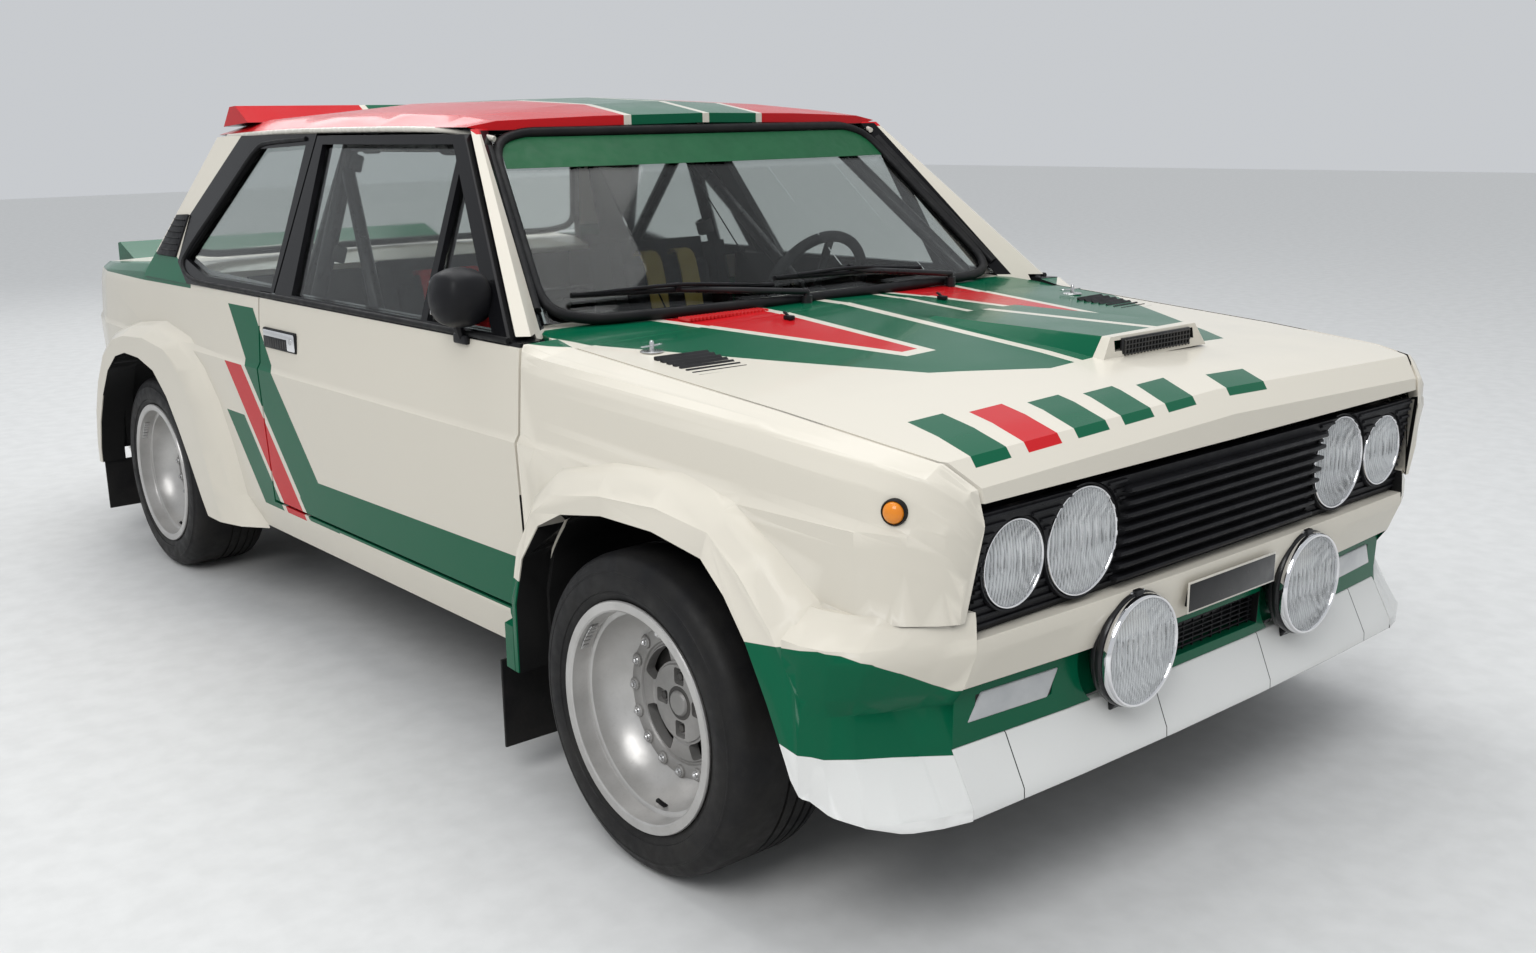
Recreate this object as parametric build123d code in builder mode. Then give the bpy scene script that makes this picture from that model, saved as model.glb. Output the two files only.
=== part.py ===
from build123d import *
import os
from math import cos, radians, sin

os.makedirs("parts", exist_ok=True)

# Overall sizes, mm. The car faces -Y, +X is its left side, +Z is up, Z = 0 is the ground.
WHEELBASE = 2490.0
FRONT_AXLE = -1410.0
REAR_AXLE = FRONT_AXLE + WHEELBASE
TYRE_R = 290.0
AXLE_Z = TYRE_R
GAP = 7.0
DOOR_GAP = 8.0

# Doors and glass line
BELT_Z = 892.0
BELT_X = 797.0
RAIL_Z = 1288.0
RAIL_X = 613.0
DOOR_FRONT = -1000.0
DOOR_REAR = 220.0
DOOR_LOW = 366.0
DOOR_IN_X = 742.0
POST_Y = -1003.0
HINGE_Z = (430.0, 780.0)
SKIN_T = 24.0

# Wheels, brakes and steering
FRONT_RIM_X = 866.0
REAR_RIM_X = 810.0
RIM_W = 216.0
RIM_R = 208.0
SEAT_R = 191.0
HUB_R = 31.0
HUB_FIT = 0.05
SEAT_GAP = 0.3
KINGPIN_X = 655.0
WELL_IN_X = 462.0
REAR_WELL_IN_X = 560.0
NUT_RING_R = 49.0
NUT_HOLE_R = 7.0
DISH = 112.0
DISC_T = 20.0
HUB_PROUD = 10.0
TYRE_PROUD = 3.0

# Section of the lower body at each station along the car, half widths and heights:
# y, lean in degrees, lower, sill shoulder, crease, above crease, upper side, side height,
# shoulder, shoulder height, top edge, top edge height, middle height
HULL = [
    (-2012, 7.5, 640, 668, 686, 678, 674, 640, 668, 690, 655, 715, 722),
    (-1996, 7.5, 668, 700, 716, 708, 702, 725, 694, 752, 676, 768, 788),
    (-1955, 6.0, 700, 742, 758, 750, 742, 758, 730, 788, 700, 806, 826),
    (-1880, 2.0, 738, 780, 794, 785, 778, 770, 762, 802, 716, 819, 842),
    (-1640, 0.0, 760, 800, 812, 803, 797, 790, 780, 826, 722, 841, 866),
    (-1060, 0.0, 766, 806, 820, 811, 803, 835, 792, 868, 726, 881, 904),
    (-1000, 0.0, 766, 806, 822, 813, 804, 850, 801, 880, 797, 892, 912),
    (220, 0.0, 766, 806, 822, 813, 804, 850, 801, 880, 797, 892, 912),
    (1100, 0.0, 760, 800, 816, 807, 798, 850, 792, 892, 770, 914, 920),
    (1500, 0.0, 740, 776, 792, 783, 775, 834, 768, 872, 742, 890, 906),
    (1700, 0.0, 700, 732, 746, 738, 730, 826, 722, 862, 698, 880, 898),
    (1830, 0.0, 656, 686, 698, 690, 684, 818, 676, 852, 656, 870, 890),
    (1925, 0.0, 622, 652, 664, 656, 650, 800, 642, 836, 626, 852, 876),
    (1975, 0.0, 588, 614, 624, 618, 612, 780, 604, 806, 590, 818, 840),
]
LEVELS = (200.0, 345.0, 706.0, 722.0)
LEAN_Z = 750.0
TAIL_Y = HULL[-1][0]
END_BLEND = (-1940, 1915)

# Roof section at each station: y, rail height, shoulder x, shoulder height, quarter x, quarter height, middle
ROOF = [
    (-576, 1287, 540, 1294, 300, 1303, 1310),
    (-400, 1288, 548, 1313, 300, 1332, 1341),
    (-100, 1288, 552, 1324, 300, 1347, 1357),
    (300, 1288, 552, 1326, 300, 1350, 1360),
    (640, 1286, 552, 1316, 300, 1338, 1347),
    (866, 1278, 546, 1298, 300, 1314, 1322),
]

# Front wheel opening and its flare in side view, relative to the axle:
# opening y, z, outer edge y, z, foot on the body y, z
FRONT_FLARE = [
    (384, 240, 396, 240, 407, 240),
    (384, 400, 396, 412, 407, 420),
    (352, 498, 368, 512, 398, 545),
    (290, 575, 310, 596, 350, 640),
    (212, 612, 232, 644, 270, 700),
    (86, 634, 90, 668, 100, 735),
    (-60, 636, -70, 678, -80, 742),
    (-189, 618, -208, 664, -225, 722),
    (-245, 570, -282, 612, -320, 655),
    (-296, 505, -352, 542, -400, 590),
    (-345, 420, -410, 455, -455, 495),
    (-375, 360, -414, 372, -455, 400),
    (-405, 240, -418, 240, -455, 240),
]

# Rear wheel opening and its flare, same columns
REAR_FLARE = [
    (-520, 240, -600, 240, -760, 240),
    (-470, 300, -560, 330, -690, 345),
    (-400, 400, -500, 450, -655, 470),
    (-340, 480, -440, 560, -600, 590),
    (-265, 565, -370, 640, -520, 680),
    (-175, 628, -270, 700, -400, 748),
    (-60, 652, -110, 715, -200, 778),
    (60, 654, 60, 704, 40, 752),
    (150, 634, 170, 682, 205, 716),
    (240, 580, 272, 622, 320, 670),
    (320, 490, 352, 530, 400, 590),
    (375, 400, 404, 432, 440, 470),
    (405, 310, 430, 330, 455, 350),
    (410, 240, 434, 240, 458, 240),
]

# Inside of the front wheel housing in side view, relative to the axle
FRONT_WELL = [(356, 240), (356, 420), (330, 505), (280, 578), (205, 624), (86, 648), (-70, 650), (-195, 632),
              (-256, 582), (-308, 515), (-358, 428), (-398, 355), (-418, 240)]
REAR_WELL = [(-440, 240), (-440, 330), (-400, 440), (-340, 530), (-265, 600), (-175, 648), (-60, 668), (60, 668),
             (155, 648), (250, 592), (332, 500), (388, 408), (418, 314), (423, 240)]
FLARE_X = 858.0
BODY_LOW = 262.0
FRONT_LOW = 243.0

# Glass openings in side view: y, z
DOOR_FRAME = [(-958, 884), (-522, 1273), (203, 1273), (138, 884)]
QUARTER_LIGHT = [(-884, 902), (-556, 1193), (-626, 902)]
DOOR_CLEAR = [(-970, 876), (-526, 1279.5), (210, 1279.5), (146, 876)]
MAIN_LIGHT = [(-600, 902), (-526, 1220), (-490, 1252), (158, 1252), (44, 902)]
QUARTER_GLASS = [(170, 911), (254, 1250), (548, 1240), (786, 946), (610, 911)]
QUARTER_WALL = [(149, 900), (212, 1281.7), (640, 1279.7), (862, 1271.7), (1058, 898), (1058, 884), (229, 884),
                (229, 900)]


def yz(points, x0, x1, mode=Mode.ADD):
    """Side-view outline pulled from x0 to x1."""
    with BuildSketch(Plane.YZ.offset(x0)) as sk:
        with BuildLine():
            Polyline(*points, close=True)
        make_face()
    extrude(sk.sketch, amount=x1 - x0, mode=mode)


def xz(points, y0, y1, mode=Mode.ADD):
    """Front-view outline pulled from y0 to y1."""
    with BuildSketch(Plane.XZ.offset(-y0)) as sk:
        with BuildLine():
            Polyline(*points, close=True)
        make_face()
    extrude(sk.sketch, amount=y0 - y1, mode=mode)


def xy(points, z0, z1, mode=Mode.ADD):
    """Plan outline pulled from z0 to z1."""
    with BuildSketch(Plane.XY.offset(z0)) as sk:
        with BuildLine():
            Polyline(*points, close=True)
        make_face()
    extrude(sk.sketch, amount=z1 - z0, mode=mode)


def block(x0, x1, y0, y1, z0, z1, mode=Mode.ADD):
    """Plain box between six faces."""
    xy([(x0, y0), (x1, y0), (x1, y1), (x0, y1)], z0, z1, mode=mode)


def both(points):
    """The same plan or front-view points on the other side of the car."""
    return [(-x, y) for x, y in points]


def rod(p, q, r, mode=Mode.ADD):
    """Round bar of radius r from point p to point q."""
    axis = Vector(*q) - Vector(*p)
    with BuildSketch(Plane(origin=p, z_dir=axis.normalized())) as sk:
        Circle(r)
    extrude(sk.sketch, amount=axis.length, mode=mode)


def pipe_run(points, r):
    """Round bars along a row of points, with balls at the bends."""
    for p, q in zip(points, points[1:]):
        rod(p, q, r)
    for p in points[1:-1]:
        with Locations(p):
            Sphere(r)


def disc_x(x0, x1, y, z, r, mode=Mode.ADD):
    """Cylinder along the car's width."""
    with BuildSketch(Plane.YZ.offset(x0)) as sk:
        with Locations((y, z)):
            Circle(r)
    extrude(sk.sketch, amount=x1 - x0, mode=mode)


def disc_y(x, z, r, y0, y1, mode=Mode.ADD):
    """Cylinder along the car's length."""
    with BuildSketch(Plane.XZ.offset(-y0)) as sk:
        with Locations((x, z)):
            Circle(r)
    extrude(sk.sketch, amount=y0 - y1, mode=mode)


def stack(planes, mode=Mode.ADD):
    """Ruled loft through (plane, points) sections, a few at a time."""
    faces = []
    for plane, points in planes:
        with BuildSketch(plane) as sk:
            with BuildLine():
                Polyline(*points, close=True)
            make_face()
        faces.append(sk.sketch.face())
    for first in range(0, len(faces) - 1, 6):
        loft(faces[first:first + 7], ruled=True, mode=mode)


def skin(sections, mode=Mode.ADD):
    """Loft through closed (y, points) sections given as front-view outlines."""
    stack([(Plane.XZ.offset(-y), points) for y, points in sections], mode=mode)


def side_loft(levels, mode=Mode.ADD):
    """Loft through closed (x, points) sections given as side-view outlines."""
    stack([(Plane.YZ.offset(x), points) for x, points in levels], mode=mode)


def plan_loft(levels, mode=Mode.ADD):
    """Loft through closed (z, points) sections given as plan outlines."""
    stack([(Plane.XY.offset(z), points) for z, points in levels], mode=mode)


def hull_section(row, inset=0.0):
    """Plane and closed outline of the lower body at one station, pulled in by inset."""
    y, lean, x0, x1, xc, xd, xe, ze, xf, zf, xg, zg, zm = row
    z0, z1, z2, z3 = LEVELS
    half = [
        (x0 - inset, z0 + inset), (x1 - inset, z1), (xc - inset, min(z2, ze - 12)), (xd - inset, min(z3, ze - 4)),
        (xe - inset, ze),
    ]
    if inset > 0:
        half += [(xf - inset, min(zf - 0.45 * inset, zg - inset - 2)), (min(xg, xf) - inset - 4, zg - inset)]
    else:
        half += [(xf, zf), (xg, zg)]
    outline = [(0, z0 + inset)] + half + [(0, zm - inset)] + [(-x, z) for x, z in half[::-1]]
    station = y + inset * (max(END_BLEND[0] - y, 0) / 75 - max(y - END_BLEND[1], 0) / 60)
    slope = radians(lean)
    plane = Plane(origin=(0, station, LEAN_Z), x_dir=(1, 0, 0), z_dir=(0, -cos(slope), -sin(slope)))
    return plane, [(x, (z - LEAN_Z) / cos(slope)) for x, z in outline]


def roof_section(row, inset):
    """Closed outline of the roof at one station, inset thick."""
    y, zr, xs, zs, xq, zq, zm = row
    half = [(RAIL_X, zr), (xs, zs), (xq, zq)]
    top = half + [(0, zm)] + [(-x, z) for x, z in half[::-1]]
    under = [(-RAIL_X + 30, zr - 6), (-xs + 12, zs - inset), (-xq, zq - inset), (0, zm - inset),
             (xq, zq - inset), (xs - 12, zs - inset), (RAIL_X - 30, zr - 6)]
    return y, top + under


def wall(points, out, deep, side=-1, mode=Mode.ADD):
    """Side-view outline as a slab in the leaning plane of the side glass, out and deep mm inside the skin."""
    z0, z1 = BELT_Z - 12, RAIL_Z + 4
    lean = (BELT_X - RAIL_X) / (RAIL_Z - BELT_Z)
    x0 = BELT_X - (z0 - BELT_Z) * lean
    x1 = BELT_X - (z1 - BELT_Z) * lean
    front = min(p[0] for p in points)
    rear = max(p[0] for p in points)
    with BuildSketch(Plane.XZ.offset(-front)) as sk:
        with BuildLine():
            Polyline((side * (x0 - out), z0), (side * (x1 - out), z1), (side * (x1 - deep), z1),
                     (side * (x0 - deep), z0), close=True)
        make_face()
    slab = extrude(sk.sketch, amount=front - rear, mode=Mode.PRIVATE)
    with BuildSketch(Plane.YZ) as cut:
        with BuildLine():
            Polyline(*points, close=True)
        make_face()
    prism = extrude(cut.sketch, amount=side * 900, mode=Mode.PRIVATE)
    add(slab & prism, mode=mode)


def crescent(x, y_end, y_mid, t):
    """Curved strip in plan: half width, end and middle positions, thickness."""
    steps = [-1, -0.6, -0.2, 0.2, 0.6, 1]
    front = [(x * s, y_mid + (y_end - y_mid) * s * s) for s in steps]
    return front + [(px, py + t) for px, py in front[::-1]]


def opening(rows, axle):
    """Wheel opening of a flare table, moved to its axle."""
    return [(axle + row[0], row[1]) for row in rows]


def flare(rows, axle):
    """Blister round a wheel opening, from inside the body skin out to the flare's outer face."""
    foot = [(axle + row[4], row[5]) for row in rows]
    edge = [(axle + row[2], row[3]) for row in rows]
    middle = [(0.55 * a[0] + 0.45 * b[0], 0.55 * a[1] + 0.45 * b[1]) for a, b in zip(foot, edge)]
    side_loft([(-784, foot), (-834, middle), (-FLARE_X, edge)])


def housing(rows, axle, x_in, x_out, t):
    """Sheet round the wheel, t thick, with an inner wall at x_in."""
    thick = []
    for y, z in rows:
        reach = (y * y + max(z - AXLE_Z, 0) ** 2) ** 0.5
        thick.append((axle + y * (1 + t / reach), z if z < 241 else z + t * max(z - AXLE_Z, 0) / reach))
    yz(thick, x_in, x_out)
    yz([(axle + y, z) for y, z in rows], x_in - t, x_out - 1, mode=Mode.SUBTRACT)


# Whole lower body, used as a tool for the panels below
with BuildPart() as hull_solid:
    stack([hull_section(row) for row in HULL])

with BuildPart() as hull_shell:
    add(hull_solid.part)
    stack([hull_section(row, SKIN_T) for row in HULL], mode=Mode.SUBTRACT)

# Wheel housings
with BuildPart() as front_well:
    housing(FRONT_WELL, FRONT_AXLE, -WELL_IN_X, -798, 10)
    block(-900, -400, FRONT_AXLE - 600, FRONT_AXLE + 600, 200, 275, mode=Mode.SUBTRACT)

with BuildPart() as rear_well:
    housing(REAR_WELL, REAR_AXLE, -REAR_WELL_IN_X, -790, 10)
    block(-900, -500, REAR_AXLE - 600, REAR_AXLE + 600, 200, 300, mode=Mode.SUBTRACT)
    block(-600, -540, REAR_AXLE - 150, REAR_AXLE + 150, 300, 440, mode=Mode.SUBTRACT)

# Lower front corner of the wing in plan, from the flare round to the bumper's end
NOSE_HALF = 650.0
RIDGE_Z = 512.0
LIP_OUTLINE = [(-850, -1790), (-846, -1834), (-832, -1880), (-806, -1920), (-765, -1952), (-702, -1980), (-650, -1994)]
WAIST_OUTLINE = [(-858, -1790), (-852, -1825), (-832, -1855), (-790, -1880), (-742, -1903), (-696, -1925),
                 (-650, -1948)]
LOW_OUTLINE = [(-858, -1790), (-854, -1827), (-838, -1862), (-800, -1896), (-752, -1922), (-700, -1948), (-650, -1970)]
RIDGE_OUTLINE = [(-858, -1790), (-857, -1830), (-845, -1872), (-812, -1913), (-762, -1945), (-704, -1972),
                 (-650, -1993)]
UPPER_OUTLINE = [(-820, -1790), (-818, -1830), (-806, -1868), (-778, -1908), (-736, -1944), (-692, -1972),
                 (-650, -1991)]
TOP_OUTLINE = [(-810, -1790), (-808, -1830), (-796, -1868), (-768, -1908), (-730, -1944), (-688, -1972), (-650, -1989)]
CORNER_IN = [(-650, -1932), (-700, -1904), (-745, -1880), (-782, -1852), (-806, -1822), (-806, -1790)]
CORNER_STEPS = [(FRONT_LOW, LIP_OUTLINE), (262, LIP_OUTLINE), (345, WAIST_OUTLINE), (420, WAIST_OUTLINE),
                (452, LOW_OUTLINE), (RIDGE_Z, RIDGE_OUTLINE), (534, RIDGE_OUTLINE), (566, UPPER_OUTLINE),
                (578, TOP_OUTLINE)]
# Edge of the wing ahead of the wheel in side view, cut up from the ground
FOOT_CUT = [(-375, 360), (-386, 338), (-398, 312), (-420, 287), (-457, 268), (-505, 257), (-550, 243), (-550, 200),
            (-300, 200), (-300, 360)]


# Front wing with its flare, lower corner and wheel housing
WING_PLAN = [(-655, -2060), (-655, -2006), (-700, -1955), (-716, -1880), (-720, -1640), (-720, -1003),
             (-900, -1003), (-900, -2060)]

with BuildPart() as wing_right:
    add(hull_shell.part)
    xy(WING_PLAN, 440, 935, mode=Mode.INTERSECT)
    block(-900, -600, -2060, -1800, 400, 566, mode=Mode.SUBTRACT)
    flare(FRONT_FLARE, FRONT_AXLE)
    plan_loft([(z, outline + CORNER_IN) for z, outline in CORNER_STEPS])
    yz(opening(FRONT_FLARE, FRONT_AXLE), -900, -500, mode=Mode.SUBTRACT)
    xy([(-858, -1012), (-855, -978), (-808, -955), (-796, -1012)], BODY_LOW, 352)
    add(front_well.part)
    block(-900, -400, -1420, -1003, 200, BODY_LOW, mode=Mode.SUBTRACT)
    yz(opening(FOOT_CUT, FRONT_AXLE), -900, -500, mode=Mode.SUBTRACT)
wing_right.part.label = "wing_right"
export_step(wing_right.part, "parts/wing_right.step")

with BuildPart() as wing_left:
    mirror(wing_right.part, about=Plane.YZ)
wing_left.part.label = "wing_left"
export_step(wing_left.part, "parts/wing_left.step")

# Side of the body behind the wing: sill, door posts, quarter, rear flare and wheel housing
LID_EDGE = [(-700, 1176), (-698, 1690), (-656, 1822), (-622, 1918), (-590, 1955)]

with BuildPart() as body_side_right:
    add(hull_shell.part)
    xy([(-700, -1003)] + LID_EDGE + [(-586, 1990), (-900, 1990), (-900, -1003)], 272, 935, mode=Mode.INTERSECT)
    block(-900, -650, -1003, DOOR_REAR + DOOR_GAP, DOOR_LOW - GAP, 960, mode=Mode.SUBTRACT)
    flare(REAR_FLARE, REAR_AXLE)
    yz(opening(REAR_FLARE, REAR_AXLE), -900, -500, mode=Mode.SUBTRACT)
    add(rear_well.part)
    xz([(-772, BODY_LOW), (-800, 345), (-800, DOOR_LOW - GAP), (-700, DOOR_LOW - GAP), (-700, BODY_LOW)], -1003, 552)
    block(-781, -700, POST_Y - 40, POST_Y, BODY_LOW, 872)
    block(-790, -700, DOOR_REAR + DOOR_GAP, 300, 300, 880)
    wall(QUARTER_WALL, 0, 30)
    wall(QUARTER_GLASS, -40, 70, mode=Mode.SUBTRACT)
    plan_loft([(893, [(-786, 1058), (-694, 1044), (-694, 1010), (-762, 985)]),
               (1271, [(-612, 862), (-578, 849), (-578, 822), (-588, 815)])])
    block(-900, -500, 0, 1700, 200, BODY_LOW, mode=Mode.SUBTRACT)
    add(wing_right.part, mode=Mode.SUBTRACT)
body_side_right.part.label = "body_side_right"
export_step(body_side_right.part, "parts/body_side_right.step")

with BuildPart() as body_side_left:
    mirror(body_side_right.part, about=Plane.YZ)
body_side_left.part.label = "body_side_left"
export_step(body_side_left.part, "parts/body_side_left.step")

# Roof with screen pillars, header, and the lip at its rear edge
A_PILLAR = [(886, [(-791, -974), (-768, -992), (-684, -908), (-684, -850), (-740, -868)]),
            (1283, [(-610, -532), (-597, -542), (-560, -520), (-560, -488), (-571, -484)])]
GLASS_TOP = 1271.0

with BuildPart() as roof:
    skin([roof_section(row, 22) for row in ROOF])
    xy([(-640, -515), (-340, -548), (0, -572), (340, -548), (640, -515), (640, 900), (-640, 900)], 1200, 1400,
       mode=Mode.INTERSECT)
    plan_loft([(GLASS_TOP + 0.5, crescent(562, -512, -566, 44)), (1290, crescent(562, -506, -548, 44))])
    plan_loft(A_PILLAR)
    plan_loft([(z, both(points)) for z, points in A_PILLAR])
    yz([(690, 1310), (770, 1356), (812, 1354), (866, 1300)], -598, 598)
    for s in (-1, 1):
        wall(DOOR_CLEAR, -20, 38, side=s, mode=Mode.SUBTRACT)
        block(s * 900, s * (DOOR_IN_X - 6), DOOR_FRONT - 1, DOOR_REAR + DOOR_GAP, 300, 900, mode=Mode.SUBTRACT)
roof.part.label = "roof"
export_step(roof.part, "parts/roof.step")

# Doors
with BuildPart() as door_right:
    add(hull_solid.part)
    yz([(DOOR_FRONT + 5, DOOR_LOW), (DOOR_REAR, DOOR_LOW), (DOOR_REAR, 960), (DOOR_FRONT + 5, 960)],
       -900, -DOOR_IN_X, mode=Mode.INTERSECT)
    wall(DOOR_FRAME, 0, 32)
    wall(QUARTER_LIGHT, -40, 70, mode=Mode.SUBTRACT)
    wall(MAIN_LIGHT, -40, 70, mode=Mode.SUBTRACT)
    for z in HINGE_Z:
        block(-779, -750, POST_Y + SEAT_GAP, DOOR_FRONT + 6, z, z + 60)
door_right.part.label = "door_right"
export_step(door_right.part, "parts/door_right.step")

with BuildPart() as door_left:
    mirror(door_right.part, about=Plane.YZ)
door_left.part.label = "door_left"
export_step(door_left.part, "parts/door_left.step")

with BuildPart() as door_glass_right:
    wall(QUARTER_LIGHT, 12, 17)
    wall(MAIN_LIGHT, 12, 17)
door_glass_right.part.label = "door_glass_right"
export_step(door_glass_right.part, "parts/door_glass_right.step")

with BuildPart() as door_glass_left:
    mirror(door_glass_right.part, about=Plane.YZ)
door_glass_left.part.label = "door_glass_left"
export_step(door_glass_left.part, "parts/door_glass_left.step")


# Fixed glass: windscreen, rear window and quarter windows
with BuildPart() as fixed_glass:
    plan_loft([(906, crescent(672, -893, -965, 9)), (GLASS_TOP, crescent(556, -516, -570, 9))])
    plan_loft([(930, crescent(688, 1038, 1062, -8)), (1266, crescent(574, 850, 866, -8))])
    wall(QUARTER_GLASS, 12, 17)
    wall(QUARTER_GLASS, 12, 17, side=1)
    add(roof.part, mode=Mode.SUBTRACT)
    add(body_side_right.part, mode=Mode.SUBTRACT)
    add(body_side_left.part, mode=Mode.SUBTRACT)
fixed_glass.part.label = "fixed_glass"
export_step(fixed_glass.part, "parts/fixed_glass.step")

# Bonnet with its raised panel and louvres
NOSE_PANEL_TOP = 724.0
BONNET_HALF = [(-648, -2060), (-648, -2004), (-693, -1952), (-709, -1880), (-713, -1640), (-713, -1060)]
BONNET_PLAN = BONNET_HALF + [(-x, y) for x, y in BONNET_HALF[::-1]]

with BuildPart() as bonnet:
    add(hull_shell.part)
    xy(BONNET_PLAN, 746, 935, mode=Mode.INTERSECT)
    yz([(-2060, 746), (-1984, 746), (-1950, 770), (-1060, 840), (-1060, 935), (-2060, 935)], -730, 730,
       mode=Mode.INTERSECT)
    stack([(Plane.XY.offset(850), [(-30, -1745), (300, -1745), (330, -1180), (-60, -1180)]),
           (Plane.XY.offset(894), [(0, -1738), (270, -1738), (262, -1300), (8, -1300)])])
    block(10, 260, -1760, -1715, 866, 886, mode=Mode.SUBTRACT)
    for s in (-1, 1):
        block(s * 500, s * 530, -1944, -1931, NOSE_PANEL_TOP + SEAT_GAP, 800)
bonnet.part.label = "bonnet"
export_step(bonnet.part, "parts/bonnet.step")

# Boot lid with its spoiler
DECK_END = 1176.0
BOOT_HALF = [(x + GAP, y) for x, y in LID_EDGE[1:]]
BOOT_PLAN = [(-693, 1184)] + BOOT_HALF + [(-583, 1990), (583, 1990)] + [(-x, y) for x, y in BOOT_HALF[::-1]]

with BuildPart() as boot_lid:
    add(hull_shell.part)
    xy(BOOT_PLAN + [(693, 1184)], 780, 935, mode=Mode.INTERSECT)
    yz([(1184, 850), (1940, 790), (1944, 780), (1990, 780), (1990, 940), (1184, 940)], -730, 730,
       mode=Mode.INTERSECT)
    yz([(1780, 866), (1932, 924), (1954, 920), (1958, 850)], -586, 586)
    for s in (-1, 1):
        block(s * 400, s * 440, DECK_END + SEAT_GAP, 1190, 893, 902)
boot_lid.part.label = "boot_lid"
export_step(boot_lid.part, "parts/boot_lid.step")

# Panels between the glass and the lids
with BuildPart() as scuttle:
    skin([(-1053, [(-713, 880), (0, 903), (713, 880), (713, 862), (0, 885), (-713, 862)]),
          (-1003, [(-719, 886), (0, 903), (719, 886), (719, 868), (0, 885), (-719, 868)]),
          (-860, [(-690, 900), (0, 904), (690, 900), (690, 884), (0, 886), (-690, 884)])])
    add(roof.part, mode=Mode.SUBTRACT)
    add(body_side_right.part, mode=Mode.SUBTRACT)
    add(body_side_left.part, mode=Mode.SUBTRACT)
scuttle.part.label = "scuttle"
export_step(scuttle.part, "parts/scuttle.step")

with BuildPart() as rear_panel:
    add(hull_shell.part)
    block(-585, 585, 1945, 1990, 330, 772, mode=Mode.INTERSECT)
rear_panel.part.label = "rear_panel"
export_step(rear_panel.part, "parts/rear_panel.step")

with BuildPart() as rear_deck:
    skin([(895, [(-650, 888), (650, 888), (650, 872), (-650, 872)]),
          (1030, [(-684, 908), (0, 918), (684, 908), (684, 892), (0, 902), (-684, 892)]),
          (DECK_END, [(-699, 914), (0, 920), (699, 914), (699, 896), (0, 902), (-699, 896)])])
    add(body_side_right.part, mode=Mode.SUBTRACT)
    add(body_side_left.part, mode=Mode.SUBTRACT)
rear_deck.part.label = "rear_deck"
export_step(rear_deck.part, "parts/rear_deck.step")

# Floor, tunnel, bulkheads and front rails
FLOOR_X = 699.7
REAR_FLOOR_X = 559.7

with BuildPart() as floorpan:
    block(-FLOOR_X, FLOOR_X, -986, 640, 214, 234)
    yz([(-986, 234), (-986, 430), (-700, 400), (640, 360), (640, 234)], -130, 130)
    block(-FLOOR_X, FLOOR_X, -1002, -986, 214, 860)
    block(-REAR_FLOOR_X, REAR_FLOOR_X, 640, 656, 214, 470)
    block(-REAR_FLOOR_X, REAR_FLOOR_X, 656, 1945 - SEAT_GAP, 452, 470)
    block(-REAR_FLOOR_X, REAR_FLOOR_X, 880, 894, 470, 871)
    block(-440, -380, -1930 + SEAT_GAP, -1002, 330, 420)
    block(380, 440, -1930 + SEAT_GAP, -1002, 330, 420)
floorpan.part.label = "floorpan"
export_step(floorpan.part, "parts/floorpan.step")

# Nose: support panel, grille, lamps, bumper and apron
NOSE_TOP = (-1996.0, 729.0)
NOSE_LOW = (-1970.0, 536.0)
OUTER_LAMP = (562, 635, 70)
INNER_LAMP = (394, 637, 89)
DRIVING_LAMP = (266, 430, 97)
DRIVING_Y = -2022.0
SLAT_PITCH = 22
GRILLE_T = 14.0

BUMPER_TOP = 534.0
BUMPER_LOW = 450.0
VALANCE_LOW = 346.0
NOSE_BACK = -1932.0


def nose_y(z):
    """Front face of the leaning grille at height z."""
    return NOSE_LOW[0] + (NOSE_TOP[0] - NOSE_LOW[0]) * (z - NOSE_LOW[1]) / (NOSE_TOP[1] - NOSE_LOW[1])


def nose_strip(y_end, y_mid):
    """Bumper outline in plan: curved front between the wings, straight back."""
    steps = [-1, -0.6, -0.2, 0.2, 0.6, 1]
    front = [(NOSE_HALF * s, y_mid + (y_end - y_mid) * s * s) for s in steps]
    return front + [(NOSE_HALF, NOSE_BACK), (-NOSE_HALF, NOSE_BACK)]


with BuildPart() as nose_panel:
    panel_x = NOSE_HALF - SEAT_GAP
    block(-panel_x, panel_x, -1945, -1925, 536, NOSE_PANEL_TOP)
    block(-panel_x, panel_x, NOSE_BACK + SEAT_GAP, -1917, VALANCE_LOW, 560)
    block(-330, 330, -1946, -1900, 400, 700, mode=Mode.SUBTRACT)
    add(floorpan.part, mode=Mode.SUBTRACT)
    yz([(-1940, 702), (nose_y(702) + GRILLE_T + SEAT_GAP, 702), (nose_y(722) + GRILLE_T + SEAT_GAP, 722),
        (-1940, 722)], -288, 288)
nose_panel.part.label = "nose_panel"
export_step(nose_panel.part, "parts/nose_panel.step")

with BuildPart() as grille:
    yz([NOSE_TOP, (NOSE_TOP[0] + GRILLE_T, NOSE_TOP[1]), (NOSE_LOW[0] + GRILLE_T, NOSE_LOW[1]), NOSE_LOW], -648, 648)
    for x, z, r in (OUTER_LAMP, INNER_LAMP):
        for s in (-1, 1):
            disc_y(s * x, z, r + 6, -2010, -1940, mode=Mode.SUBTRACT)
    for n in range(8):
        z = NOSE_LOW[1] + 12 + n * SLAT_PITCH
        block(-288, 288, nose_y(z) - 16, nose_y(z) + 4, z, z + 8)
grille.part.label = "grille"
export_step(grille.part, "parts/grille.step")

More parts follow.
